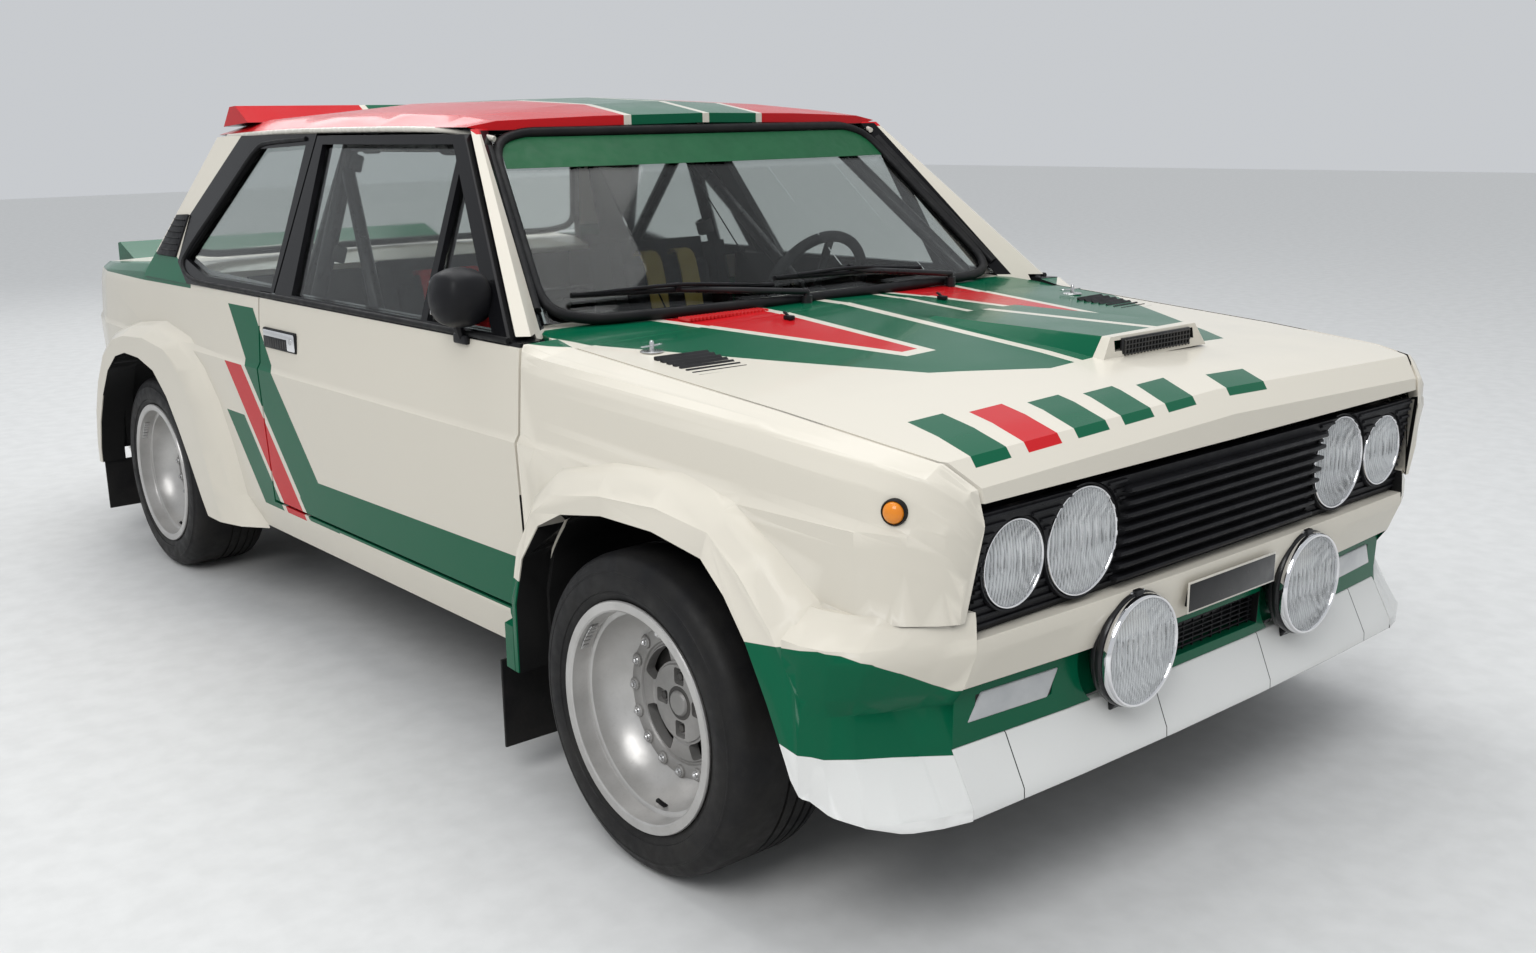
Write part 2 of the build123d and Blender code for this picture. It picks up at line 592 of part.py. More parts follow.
with BuildPart() as front_bumper:
    plan_loft([(VALANCE_LOW, nose_strip(-1948, -1975)), (BUMPER_LOW, nose_strip(-1952, -1980))])
    for s in (-1, 1):
        yz([(-2020, 378), (-1941, 384), (-1941, 424), (-2020, 430)], s * 430, s * 604, mode=Mode.SUBTRACT)
        x, z, r = DRIVING_LAMP
        disc_y(s * x, z, r + 8, -2060, -1950, mode=Mode.SUBTRACT)
    block(-160, 160, -2020, -1920, 366, 428, mode=Mode.SUBTRACT)
    plan_loft([(BUMPER_LOW, nose_strip(-1970, -1998)), (RIDGE_Z, nose_strip(-1993, -2006)),
               (BUMPER_TOP, nose_strip(-1991, -2004))])
front_bumper.part.label = "front_bumper"
export_step(front_bumper.part, "parts/front_bumper.step")

with BuildPart() as air_dam:
    plan_loft([(FRONT_LOW, crescent(NOSE_HALF, -1994, -2010, 16)), (262, crescent(NOSE_HALF, -1993, -2009, 16)),
               (VALANCE_LOW - SEAT_GAP, crescent(NOSE_HALF, -1948, -1975, 16))])
air_dam.part.label = "air_dam"
export_step(air_dam.part, "parts/air_dam.step")

with BuildPart() as lamp_lenses:
    for x, z, r in (OUTER_LAMP, INNER_LAMP):
        for s in (-1, 1):
            disc_y(s * x, z, r, -1990, -1980)
    for s in (-1, 1):
        x, z, r = DRIVING_LAMP
        disc_y(s * x, z, r - 8 - SEAT_GAP, DRIVING_Y - 3, DRIVING_Y + 6)
lamp_lenses.part.label = "lamp_lenses"
export_step(lamp_lenses.part, "parts/lamp_lenses.step")

with BuildPart() as lamp_bowls:
    for x, z, r in (OUTER_LAMP, INNER_LAMP):
        for s in (-1, 1):
            disc_y(s * x, z, r + 3, -1980, -1945 - SEAT_GAP)
            disc_y(s * x, z, r - 3, -1980, -1960, mode=Mode.SUBTRACT)
lamp_bowls.part.label = "lamp_bowls"
export_step(lamp_bowls.part, "parts/lamp_bowls.step")

with BuildPart() as lamp_shells:
    for s in (-1, 1):
        x, z, r = DRIVING_LAMP
        disc_y(s * x, z, r, DRIVING_Y, DRIVING_Y + 15)
        disc_y(s * x, z, r - 8, -2060, DRIVING_Y + 6 + SEAT_GAP, mode=Mode.SUBTRACT)
        disc_y(s * x, z, r - 8, DRIVING_Y + 15, DRIVING_Y + 40)
        disc_y(s * x, z, r - 26, DRIVING_Y + 40, -1950 - SEAT_GAP)
    add(front_bumper.part, mode=Mode.SUBTRACT)
lamp_shells.part.label = "lamp_shells"
export_step(lamp_shells.part, "parts/lamp_shells.step")

REAR_BUMPER_HALF = [(-640, TAIL_Y + SEAT_GAP), (-640, 1988), (-384, 2012), (-128, 2025)]

with BuildPart() as rear_bumper:
    xy(REAR_BUMPER_HALF + [(-x, y) for x, y in REAR_BUMPER_HALF[::-1]], 440, 560)
rear_bumper.part.label = "rear_bumper"
export_step(rear_bumper.part, "parts/rear_bumper.step")

with BuildPart() as tail_lamps:
    for s in (-1, 1):
        block(s * 360, s * 580, TAIL_Y, TAIL_Y + 16, 610, 730)
tail_lamps.part.label = "tail_lamps"
export_step(tail_lamps.part, "parts/tail_lamps.step")

FRONT_FLAP_Y = FRONT_AXLE + 468
REAR_FLAP_Y = REAR_AXLE + 420
FLAP_T = 6

with BuildPart() as mudflaps:
    for s in (-1, 1):
        block(s * 701, s * 846, FRONT_FLAP_Y, FRONT_FLAP_Y + FLAP_T, 75, BODY_LOW - SEAT_GAP)
        block(s * 640, s * 846, REAR_FLAP_Y, REAR_FLAP_Y + FLAP_T, 105, BODY_LOW - SEAT_GAP)
mudflaps.part.label = "mudflaps"
export_step(mudflaps.part, "parts/mudflaps.step")

# Cab: seats, dashboard, steering wheel, cage
SEAT_X = 350
SEAT_Y = -100
SEAT_PAN = [(-440, 262), (-440, 312), (-380, 330), (30, 280), (60, 300), (212, 960), (262, 950), (112, 262),
            (60, 250)]
SEAT_SIDE = [(-430, 262), (-430, 400), (-150, 430), (-30, 450), (96, 700), (150, 950), (252, 935), (106, 262)]

with BuildPart() as seats:
    for s in (-1, 1):
        yz([(SEAT_Y + y, z) for y, z in SEAT_PAN], s * SEAT_X - 170, s * SEAT_X + 170)
        for e in (-1, 1):
            yz([(SEAT_Y + y, z) for y, z in SEAT_SIDE], s * SEAT_X + e * 168, s * SEAT_X + e * 208)
            block(s * SEAT_X + e * 120, s * SEAT_X + e * 150, SEAT_Y - 400, SEAT_Y + 80, 234 + SEAT_GAP, 264)
seats.part.label = "seats"
export_step(seats.part, "parts/seats.step")

WHEEL_AT = (350, -560, 850)
COLUMN = (0, 0.92, 0.392)
COLUMN_R = 16.0
COLUMN_LENGTH = 230.0


def along_column(distance):
    """Point on the steering axis, measured from the wheel's centre towards the driver."""
    return tuple(a + distance * b for a, b in zip(WHEEL_AT, COLUMN))


with BuildPart() as dashboard:
    yz([(-986 + SEAT_GAP, 700), (-986 + SEAT_GAP, 858), (-880, 868), (-770, 858), (-740, 828), (-752, 690),
        (-800, 660)], -612, 612)
    rod(along_column(-140), along_column(-COLUMN_LENGTH - SEAT_GAP), COLUMN_R + SEAT_GAP, mode=Mode.SUBTRACT)
dashboard.part.label = "dashboard"
export_step(dashboard.part, "parts/dashboard.step")


with BuildPart() as steering_wheel:
    with BuildSketch(Plane(origin=WHEEL_AT, x_dir=(1, 0, 0), z_dir=COLUMN)) as hub_sketch:
        Circle(32)
    extrude(hub_sketch.sketch, amount=-26)
    with BuildSketch(Plane(origin=WHEEL_AT, x_dir=COLUMN, z_dir=(1, 0, 0))) as rim_sketch:
        with Locations((0, 165)):
            Circle(14)
    revolve(rim_sketch.sketch, axis=Axis(WHEEL_AT, COLUMN))
    with BuildSketch(Plane(origin=WHEEL_AT, x_dir=(1, 0, 0), z_dir=COLUMN)) as spoke_sketch:
        Rectangle(316, 22)
        with Locations((0, -79)):
            Rectangle(22, 158)
    extrude(spoke_sketch.sketch, amount=-8)
    with BuildSketch(Plane(origin=WHEEL_AT, x_dir=(1, 0, 0), z_dir=COLUMN)) as column_sketch:
        Circle(COLUMN_R)
    extrude(column_sketch.sketch, amount=-COLUMN_LENGTH)
steering_wheel.part.label = "steering_wheel"
export_step(steering_wheel.part, "parts/steering_wheel.step")

with BuildPart() as roll_cage:
    for s in (-1, 1):
        pipe_run([(s * 655, 190, 234 + SEAT_GAP), (s * 655, 190, 880), (s * 535, 190, 1250)], 20)
        pipe_run([(s * 535, 190, 1250), (s * 520, -430, 1250), (s * 640, -815, 905), (s * 645, -815, 234 + SEAT_GAP)], 19)
        pipe_run([(s * 535, 190, 1250), (s * 535, 830, 500), (s * 535, 830, 470 + SEAT_GAP)], 19)
        pipe_run([(s * 556, 175, 1180), (s * 664, -165, 822), (s * 664, -560, 420), (s * 664, -560, 234 + SEAT_GAP)], 17)
    rod((-535, 190, 1250), (535, 190, 1250), 20)
    rod((-520, -430, 1250), (520, -430, 1250), 19)
    rod((-655, 190, 820), (655, 190, 820), 19)
    add(floorpan.part, mode=Mode.SUBTRACT)
roll_cage.part.label = "roll_cage"
export_step(roll_cage.part, "parts/roll_cage.step")

# Running gear on the body
with BuildPart() as engine:
    block(-170, 170, -1820, -1150, 250, 740)
engine.part.label = "engine"
export_step(engine.part, "parts/engine.step")

with BuildPart() as front_suspension:
    block(-440, 440, -1450, -1370, 170, 230)
    for s in (-1, 1):
        block(s * 380, s * 440, -1440, -1380, 230, 330 - SEAT_GAP)
        rod((s * 430, FRONT_AXLE, 196), (s * 652, FRONT_AXLE, 188), 14)
        rod((s * KINGPIN_X, FRONT_AXLE, 182), (s * KINGPIN_X, FRONT_AXLE, 205 - SEAT_GAP), 8)
        rod((s * 430, -1240, 240), (s * 600, -1400, 196), 11)
        rod((s * 572, -1408, 195), (s * 560, -1400, 648), 22)
    block(-445, 445, -1252, -1228, 226, 250 - SEAT_GAP)
front_suspension.part.label = "front_suspension"
export_step(front_suspension.part, "parts/front_suspension.step")

with BuildPart() as rear_suspension:
    block(-440, 440, REAR_AXLE - 40, REAR_AXLE + 40, 330, 380)
    block(-110, 110, REAR_AXLE - 110, REAR_AXLE + 110, 230, 372)
    for s in (-1, 1):
        block(s * 380, s * 430, REAR_AXLE - 30, REAR_AXLE + 30, 380, 452 - SEAT_GAP)
        rod((s * 108, REAR_AXLE, AXLE_Z), (s * 604, REAR_AXLE, AXLE_Z), 20)
        rod((s * 430, REAR_AXLE, 350), (s * 590, REAR_AXLE, 205), 16)
        disc_x(s * 596, s * 612, REAR_AXLE, AXLE_Z, 120)
        disc_x(s * 612, s * (REAR_RIM_X - DISH + HUB_PROUD), REAR_AXLE, AXLE_Z, HUB_R)
rear_suspension.part.label = "rear_suspension"
export_step(rear_suspension.part, "parts/rear_suspension.step")

with BuildPart() as exhaust:
    pipe_run([(120, -1150 + SEAT_GAP, 300), (120, -1080, 300), (160, -1020, 182), (200, -900, 182),
              (200, 600, 182), (260, 1300, 205), (260, 2010, 250)], 26)
exhaust.part.label = "exhaust"
export_step(exhaust.part, "parts/exhaust.step")

with BuildPart() as wipers:
    pipe_run([(-60, -985, 902), (-60, -985, 926), (-360, -908, 951)], 7)
    rod((-120, -940, 941), (-600, -873, 955), 5)
    pipe_run([(430, -962, 903), (430, -962, 926), (130, -925, 956)], 7)
    rod((370, -917, 941), (-110, -934, 955), 5)
    for x, y in ((-60, -985), (430, -962)):
        rod((x, y, 896), (x, y, 918), 12)
    add(scuttle.part, mode=Mode.SUBTRACT)
wipers.part.label = "wipers"
export_step(wipers.part, "parts/wipers.step")

with BuildPart() as mirror_right:
    skin([(-850, [(-840, 940), (-796, 940), (-776, 984), (-840, 984)]),
          (-812, [(-857, 924), (-795, 924), (-764, 1004), (-857, 1004)]),
          (-748, [(-858, 918), (-794, 918), (-760, 1010), (-858, 1010)])])
    rod((-822, -800, 935), (-806, -790, 886), 10)
    add(door_right.part, mode=Mode.SUBTRACT)
mirror_right.part.label = "mirror_right"
export_step(mirror_right.part, "parts/mirror_right.step")

# Front uprights with brake and hub
with BuildPart() as knuckle_right:
    block(-668, -640, FRONT_AXLE - 45, FRONT_AXLE + 45, 205, 400)
    disc_x(-684, -668, FRONT_AXLE, AXLE_Z, 128)
    disc_x(-(FRONT_RIM_X - DISH + HUB_PROUD), -684, FRONT_AXLE, AXLE_Z, HUB_R)
    block(-700, -650, FRONT_AXLE + 60, FRONT_AXLE + 150, AXLE_Z - 60, AXLE_Z + 60)
knuckle_right.part.label = "knuckle_right"
export_step(knuckle_right.part, "parts/knuckle_right.step")

with BuildPart() as knuckle_left:
    mirror(knuckle_right.part, about=Plane.YZ)
knuckle_left.part.label = "knuckle_left"
export_step(knuckle_left.part, "parts/knuckle_left.step")

# Wheels: profile depths are measured inwards from the outer face of the rim


def wheel_plane(axle):
    """Plane through the wheel's axis, local x across the car, local y up."""
    return Plane(origin=(0, axle, AXLE_Z), x_dir=(1, 0, 0), z_dir=(0, -1, 0))


def turn(points, axle, mode=Mode.ADD):
    """Profile of (x, radius) points turned about the axle line."""
    with BuildSketch(wheel_plane(axle)) as sk:
        with BuildLine():
            Polyline(*points, close=True)
        make_face()
    revolve(sk.sketch, axis=Axis((0, axle, AXLE_Z), (1, 0, 0)), mode=mode)


def rim_body(side, axle, out_x):
    """Rim: barrel with two flanges and a bored mounting disc with round openings."""
    def at(depth):
        return side * (out_x - depth)
    turn([(at(0), 200), (at(0), RIM_R), (at(9), RIM_R), (at(9), SEAT_R), (at(RIM_W - 9), SEAT_R),
          (at(RIM_W - 9), RIM_R), (at(RIM_W), RIM_R), (at(RIM_W), 184), (at(DISH + DISC_T), 181),
          (at(DISH + DISC_T), HUB_R + HUB_FIT), (at(DISH), HUB_R + HUB_FIT), (at(DISH), 168), (at(12), 186)], axle)
    with BuildSketch(Plane.YZ.offset(at(DISH - 5))) as holes:
        with Locations((axle, AXLE_Z)):
            with PolarLocations(92, 8):
                Circle(22)
            with PolarLocations(NUT_RING_R, 4):
                Circle(NUT_HOLE_R)
    extrude(holes.sketch, amount=-side * (DISC_T + 10), mode=Mode.SUBTRACT)


def tyre_body(side, axle, out_x):
    """Tyre: tread, shoulders and side walls down to the flanges."""
    def at(depth):
        return side * (out_x + TYRE_PROUD - depth)
    inner = RIM_W - 9 + TYRE_PROUD - 0.1
    turn([(at(12.1), SEAT_R + 0.2), (at(12.1), 214), (at(0), 240), (at(3), 262), (at(14), 279), (at(38), TYRE_R),
          (at(184), TYRE_R), (at(208), 279), (at(219), 262), (at(222), 240), (at(inner), 214),
          (at(inner), SEAT_R + 0.2)], axle)


with BuildPart() as rim_fr:
    rim_body(-1, FRONT_AXLE, FRONT_RIM_X)
rim_fr.part.label = "rim_fr"
export_step(rim_fr.part, "parts/rim_fr.step")

with BuildPart() as rim_fl:
    rim_body(1, FRONT_AXLE, FRONT_RIM_X)
rim_fl.part.label = "rim_fl"
export_step(rim_fl.part, "parts/rim_fl.step")

with BuildPart() as rim_rr:
    rim_body(-1, REAR_AXLE, REAR_RIM_X)
rim_rr.part.label = "rim_rr"
export_step(rim_rr.part, "parts/rim_rr.step")

with BuildPart() as rim_rl:
    rim_body(1, REAR_AXLE, REAR_RIM_X)
rim_rl.part.label = "rim_rl"
export_step(rim_rl.part, "parts/rim_rl.step")

with BuildPart() as tyre_fr:
    tyre_body(-1, FRONT_AXLE, FRONT_RIM_X)
tyre_fr.part.label = "tyre_fr"
export_step(tyre_fr.part, "parts/tyre_fr.step")

with BuildPart() as tyre_fl:
    tyre_body(1, FRONT_AXLE, FRONT_RIM_X)
tyre_fl.part.label = "tyre_fl"
export_step(tyre_fl.part, "parts/tyre_fl.step")

with BuildPart() as tyre_rr:
    tyre_body(-1, REAR_AXLE, REAR_RIM_X)
tyre_rr.part.label = "tyre_rr"
export_step(tyre_rr.part, "parts/tyre_rr.step")

with BuildPart() as tyre_rl:
    tyre_body(1, REAR_AXLE, REAR_RIM_X)
tyre_rl.part.label = "tyre_rl"
export_step(tyre_rl.part, "parts/tyre_rl.step")
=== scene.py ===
"""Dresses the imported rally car: paint, glass, wheels, lamps, trim and cab."""
import logging
import math
from collections.abc import Callable, Iterable, Iterator
from contextlib import contextmanager
from dataclasses import dataclass
from enum import Enum

import bpy
from mathutils import Matrix, Vector


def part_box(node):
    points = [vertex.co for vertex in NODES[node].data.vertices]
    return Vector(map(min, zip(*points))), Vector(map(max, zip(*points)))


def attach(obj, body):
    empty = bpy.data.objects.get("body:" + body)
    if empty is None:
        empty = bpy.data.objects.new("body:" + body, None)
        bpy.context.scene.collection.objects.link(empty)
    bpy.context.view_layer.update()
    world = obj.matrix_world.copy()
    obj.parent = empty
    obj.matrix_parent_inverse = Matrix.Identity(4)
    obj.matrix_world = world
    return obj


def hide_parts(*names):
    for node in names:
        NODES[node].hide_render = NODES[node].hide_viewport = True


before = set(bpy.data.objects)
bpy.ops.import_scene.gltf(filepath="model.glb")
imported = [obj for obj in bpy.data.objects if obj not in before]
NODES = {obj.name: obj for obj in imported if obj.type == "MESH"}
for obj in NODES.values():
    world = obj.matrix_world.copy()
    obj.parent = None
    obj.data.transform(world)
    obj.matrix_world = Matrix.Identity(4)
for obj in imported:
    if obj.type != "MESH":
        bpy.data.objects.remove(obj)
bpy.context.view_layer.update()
LOG = logging.getLogger("rally_car")

Piece = bpy.types.Object
Node = bpy.types.Node
Tree = bpy.types.NodeTree
Socket = bpy.types.NodeSocket
Point2 = tuple[float, float]
Point3 = tuple[float, float, float]
Colour = tuple[float, float, float]

FRONT_AXLE = -1.41
REAR_AXLE = 1.08
AXLE_Z = 0.29
ACROSS = Vector((1, 0, 0))
UP = Vector((0, 0, 1))
MIRROR = Matrix.Scale(-1, 4, ACROSS)


class Side(Enum):
    """Side of the car, as the sign of X."""

    RIGHT = -1
    LEFT = 1


class Shade(Enum):
    """Plain colours of the paint, as linear values."""

    CREAM = (0.66, 0.62, 0.535)
    GREEN = (0.001, 0.1, 0.046)
    RED = (0.52, 0.01, 0.014)
    BLACK = (0.006, 0.006, 0.007)
    WHITE = (0.72, 0.72, 0.7)
    # Near-black painted shade for body faces that look into the cab, at the ground or into a wheel house.
    LINING = (0.014, 0.014, 0.014)
    # Dark painted shade between the flutes of a lamp reflector.
    FLUTE_SHADE = (0.05, 0.05, 0.05)
    DUST = (0.16, 0.14, 0.12)
    PALE_DUST = (0.22, 0.2, 0.17)


class Pad:
    """Adds and joins nodes in one node tree."""

    def __init__(self, tree: Tree) -> None:
        """Keep the tree that nodes go into."""
        self.tree = tree

    def add(self, kind: str, **settings: object) -> Node:
        """Add a node and set its properties.

        Args:
            kind: Blender's name of the node type.
            settings: Properties of the node.

        Returns:
            The new node.
        """
        node = self.tree.nodes.new(kind)
        for name, value in settings.items():
            setattr(node, name, value)
        return node

    def feed(self, socket: Socket, value: object) -> None:
        """Link a socket to another, or set it to a plain value.

        Args:
            socket: The input.
            value: A socket, a number, a colour or a shade.
        """
        if isinstance(value, Shade):
            value = value.value
        if isinstance(value, bpy.types.NodeSocket):
            self.tree.links.new(value, socket)
        elif isinstance(value, tuple) and len(value) == 3 and socket.type == "RGBA":
            socket.default_value = (*value, 1.0)
        else:
            socket.default_value = value

    def fill(self, node: Node, **values: object) -> None:
        """Feed a node's inputs by name, with _ for each space."""
        for label, value in values.items():
            self.feed(node.inputs[label.replace("_", " ")], value)

    def math(self, operation: str, *values: object, clamp: bool = False) -> Socket:
        """One step of arithmetic.

        Args:
            operation: Name of the operation.
            values: Up to three values or sockets.
            clamp: Whether the result is kept between 0 and 1.

        Returns:
            The result's socket.
        """
        node = self.add("ShaderNodeMath", operation=operation, use_clamp=clamp)
        for socket, value in zip(node.inputs, values):
            self.feed(socket, value)
        return node.outputs[0]

    def times(self, a: object, b: object) -> Socket:
        """Product of two values."""
        return self.math("MULTIPLY", a, b)

    def mix(self, factor: object, a: object, b: object) -> Socket:
        """Mix two colours.

        Args:
            factor: Share of the second colour.
            a: First colour.
            b: Second colour.

        Returns:
            The colour's socket.
        """
        node = self.add("ShaderNodeMix", data_type="RGBA")
        for index, value in ((0, factor), (6, a), (7, b)):
            self.feed(node.inputs[index], value)
        return node.outputs[2]

    def mix_value(self, factor: Socket, a: object, b: object) -> Socket:
        """Mix two values by a factor."""
        return self.math("ADD", self.times(self.math("SUBTRACT", 1.0, factor), a), self.times(factor, b))

    def place(self) -> Socket:
        """Object coordinates, which are the car's own metres."""
        return self.add("ShaderNodeTexCoord").outputs["Object"]

    def split(self, vector: Socket) -> list[Socket]:
        """X, Y and Z of a vector.

        Args:
            vector: The vector.

        Returns:
            The three sockets.
        """
        node = self.add("ShaderNodeSeparateXYZ")
        self.feed(node.inputs[0], vector)
        return list(node.outputs)

    def noise(self, vector: Socket, scale: object, detail: float = 3.0) -> Socket:
        """Noise between 0 and 1.

        Args:
            vector: Where it is read.
            scale: Features per metre.
            detail: Octaves.

        Returns:
            The value's socket.
        """
        node = self.add("ShaderNodeTexNoise")
        self.fill(node, Vector=vector, Scale=scale, Detail=detail)
        return node.outputs["Fac"]

    def fit(self, value: Socket, *ends: float) -> Socket:
        """Map a value from one range to another, clamped, by the ends of both.

        Args:
            value: The value.
            ends: Both ends of its range, then both ends of the new one.

        Returns:
            The new value's socket.
        """
        node = self.add("ShaderNodeMapRange")
        for socket, number in zip(node.inputs, (value, *ends)):
            self.feed(socket, number)
        return node.outputs[0]

    def polygon(self, u: Socket, v: Socket, points: tuple[Point2, ...], soft: float = 0.0006) -> Socket:
        """Mask of a convex outline.

        Args:
            u: First coordinate.
            v: Second coordinate.
            points: Corners, in either turn.
            soft: Width of the edge in metres.

        Returns:
            Socket that is 1 inside and 0 outside.
        """
        cu, cv = (sum(p[axis] for p in points) / len(points) for axis in (0, 1))
        inside = None
        for (u0, v0), (u1, v1) in zip(points, points[1:] + points[:1]):
            size = math.hypot(v0 - v1, u1 - u0)
            a, b = (v0 - v1) / size, (u1 - u0) / size
            c = -(a * u0 + b * v0)
            if a * cu + b * cv + c < 0:
                a, b, c = -a, -b, -c
            reach = self.math("MULTIPLY_ADD", v, b, self.math("MULTIPLY_ADD", u, a, c))
            inside = reach if inside is None else self.math("MINIMUM", inside, reach)
        return self.math("MULTIPLY_ADD", inside, 1 / soft, 0.5, clamp=True)

    def below(self, value: Socket, limit: object) -> Socket:
        """Mask of where a value is under a limit."""
        return self.math("LESS_THAN", value, limit)

    def above(self, value: Socket, limit: object) -> Socket:
        """Mask of where a value is over a limit."""
        return self.math("GREATER_THAN", value, limit)

    def any_of(self, masks: list[Socket]) -> Socket:
        """Union of masks.

        Args:
            masks: The masks.

        Returns:
            Socket that is 1 where any of them is.
        """
        out = masks[0]
        for mask in masks[1:]:
            out = self.math("MAXIMUM", out, mask)
        return out

    def bump(self, shader: Node, strength: float, distance: float, **grain: float) -> None:
        """Feed a shader's normal from the shared grain.

        Args:
            shader: The shader.
            strength: Strength of the bump.
            distance: Its depth in metres.
            grain: Values of the grain group.
        """
        node = self.add("ShaderNodeBump")
        self.fill(node, Strength=strength, Distance=distance, Height=Groups.use(self, Groups.grain, **grain))
        self.feed(shader.inputs["Normal"], node.outputs["Normal"])


class Groups:
    """Shader node groups that several finishes share."""

    made: dict[str, Tree] = {}

    @staticmethod
    def dust() -> Tree:
        """Road dust that thickens towards the ground, and fine speckle.

        Returns:
            The group's tree.
        """
        tree = bpy.data.node_groups.new("road_dust", "ShaderNodeTree")
        pad, given, out = Groups.sockets(tree, {"Amount": 0.3, "Top": 0.5}, "Mask")
        place = pad.place()
        height = pad.math("DIVIDE", pad.split(place)[2], given["Top"])
        low = pad.math("SUBTRACT", 1.0, height, clamp=True)
        patches = pad.fit(pad.noise(place, 9.0, 6.0), 0.35, 0.75, 0.0, 1.0)
        speckle = pad.fit(pad.noise(place, 160.0, 2.0), 0.55, 0.75, 0.0, 0.5)
        mask = pad.times(low, pad.math("ADD", patches, speckle))
        pad.feed(out, pad.math("MULTIPLY", mask, given["Amount"], clamp=True))
        return tree

    @staticmethod
    def grain() -> Tree:
        """Height of two sizes of noise, for orange peel, grain and castings.

        Returns:
            The group's tree.
        """
        tree = bpy.data.node_groups.new("surface_grain", "ShaderNodeTree")
        pad, given, out = Groups.sockets(tree, {"Coarse": 20.0, "Fine": 400.0, "Balance": 0.5}, "Height")
        place = pad.place()
        coarse, fine = (pad.noise(place, given[label], 2.0) for label in ("Coarse", "Fine"))
        coarse = pad.times(coarse, pad.math("SUBTRACT", 1.0, given["Balance"]))
        pad.feed(out, pad.math("MULTIPLY_ADD", fine, given["Balance"], coarse))
        return tree

    @staticmethod
    def sockets(tree: Tree, inputs: dict[str, float], output: str) -> tuple[Pad, dict[str, Socket], Socket]:
        """Give a group its inputs and its output.

        Args:
            tree: The group's tree.
            inputs: Name and default of each input.
            output: Name of the output.

        Returns:
            The tree's pad, its inputs by name, and the output.
        """
        for label, value in inputs.items():
            tree.interface.new_socket(label, in_out="INPUT", socket_type="NodeSocketFloat").default_value = value
        tree.interface.new_socket(output, in_out="OUTPUT", socket_type="NodeSocketFloat")
        pad = Pad(tree)
        given = pad.add("NodeGroupInput").outputs
        return pad, {label: given[label] for label in inputs}, pad.add("NodeGroupOutput").inputs[output]

    @classmethod
    def use(cls, pad: Pad, build: Callable[[], Tree], **values: float) -> Socket:
        """Place a group in a material with its own values.

        Args:
            pad: Pad of the material's tree.
            build: What builds the group the first time.
            values: Values of its inputs.

        Returns:
            The group's output.
        """
        if build.__name__ not in cls.made:
            cls.made[build.__name__] = build()
        node = pad.add("ShaderNodeGroup", node_tree=cls.made[build.__name__])
        pad.fill(node, **values)
        return node.outputs[0]


@dataclass(frozen=True)
class Surface:
    """A material that is built once and then given again."""

    name: str

    def wire(self, pad: Pad, shader: Node) -> None:
        """Wire the material's nodes into its shader."""
        raise NotImplementedError

    def material(self) -> bpy.types.Material:
        """Build the material, or give the one already built.

        Returns:
            The material.
        """
        found = bpy.data.materials.get(self.name)
        if found:
            return found
        made = bpy.data.materials.new(self.name)
        made.use_nodes = True
        self.wire(Pad(made.node_tree), made.node_tree.nodes["Principled BSDF"])
        return made


@dataclass(frozen=True)
class Finish(Surface):
    """A plain finish with grain, patchy gloss, dust and, on a reflector, painted shade between its flutes."""

    colour: Colour
    second: Colour
    roughness: float = 0.5
    metallic: float = 0.0
    coat: float = 0.0
    bump: float = 0.05
    coarse: float = 30.0
    fine: float = 600.0
    dust: float = 0.0
    dust_top: float = 0.7
    # Pitch of the painted shade stripes across a reflector's flutes, or 0 for none.
    flutes: float = 0.0

    def fluted(self, pad: Pad, place: Socket, colour: Socket) -> Socket:
        """Paint shade between upright flutes and level steps as dark stripes in a colour.

        Args:
            pad: Pad of the material's tree.
            place: Object coordinates.
            colour: The colour.

        Returns:
            The new colour's socket.
        """
        x, _, z = pad.split(place)
        warp = pad.times(pad.noise(place, 28.0, 2.0), 9.0)
        upright = pad.math("SINE", pad.math("MULTIPLY_ADD", x, math.tau / self.flutes, warp))
        level = pad.math("SINE", pad.math("MULTIPLY_ADD", z, math.tau / (self.flutes * 4.2), warp))
        lines = pad.math("MULTIPLY_ADD", level, 0.5, upright)
        # Painted shade: up to 92 percent of the flute shade colour between the flutes.
        return pad.mix(pad.fit(lines, -0.9, 0.6, 0.92, 0.0), colour, Shade.FLUTE_SHADE)

    def wire(self, pad: Pad, shader: Node) -> None:
        """Wire the colour, gloss, dust and grain, and for a reflector the painted shade between its flutes.

        Args:
            pad: Pad of the material's tree.
            shader: The material's shader.
        """
        place = pad.place()
        patches = pad.fit(pad.noise(place, 14.0, 4.0), 0.35, 0.65, 0.0, 1.0)
        colour = pad.mix(patches, self.colour, self.second)
        dull, bright = self.roughness * 0.85, min(self.roughness * 1.2, 1.0)
        rough = pad.fit(pad.noise(place, 45.0, 3.0), 0.3, 0.7, dull, bright)
        if self.flutes:
            colour = self.fluted(pad, place, colour)
        if self.dust:
            dust = Groups.use(pad, Groups.dust, Amount=self.dust, Top=self.dust_top)
            colour = pad.mix(dust, colour, Shade.DUST)
            rough = pad.math("MAXIMUM", rough, pad.times(dust, 0.8))
        pad.fill(shader, Base_Color=colour, Roughness=rough, Metallic=self.metallic, Coat_Weight=self.coat,
                 Specular_IOR_Level=0.5 if self.metallic else 0.2, Coat_Roughness=0.05)
        pad.bump(shader, self.bump, 0.002, Coarse=self.coarse, Fine=self.fine, Balance=0.6)


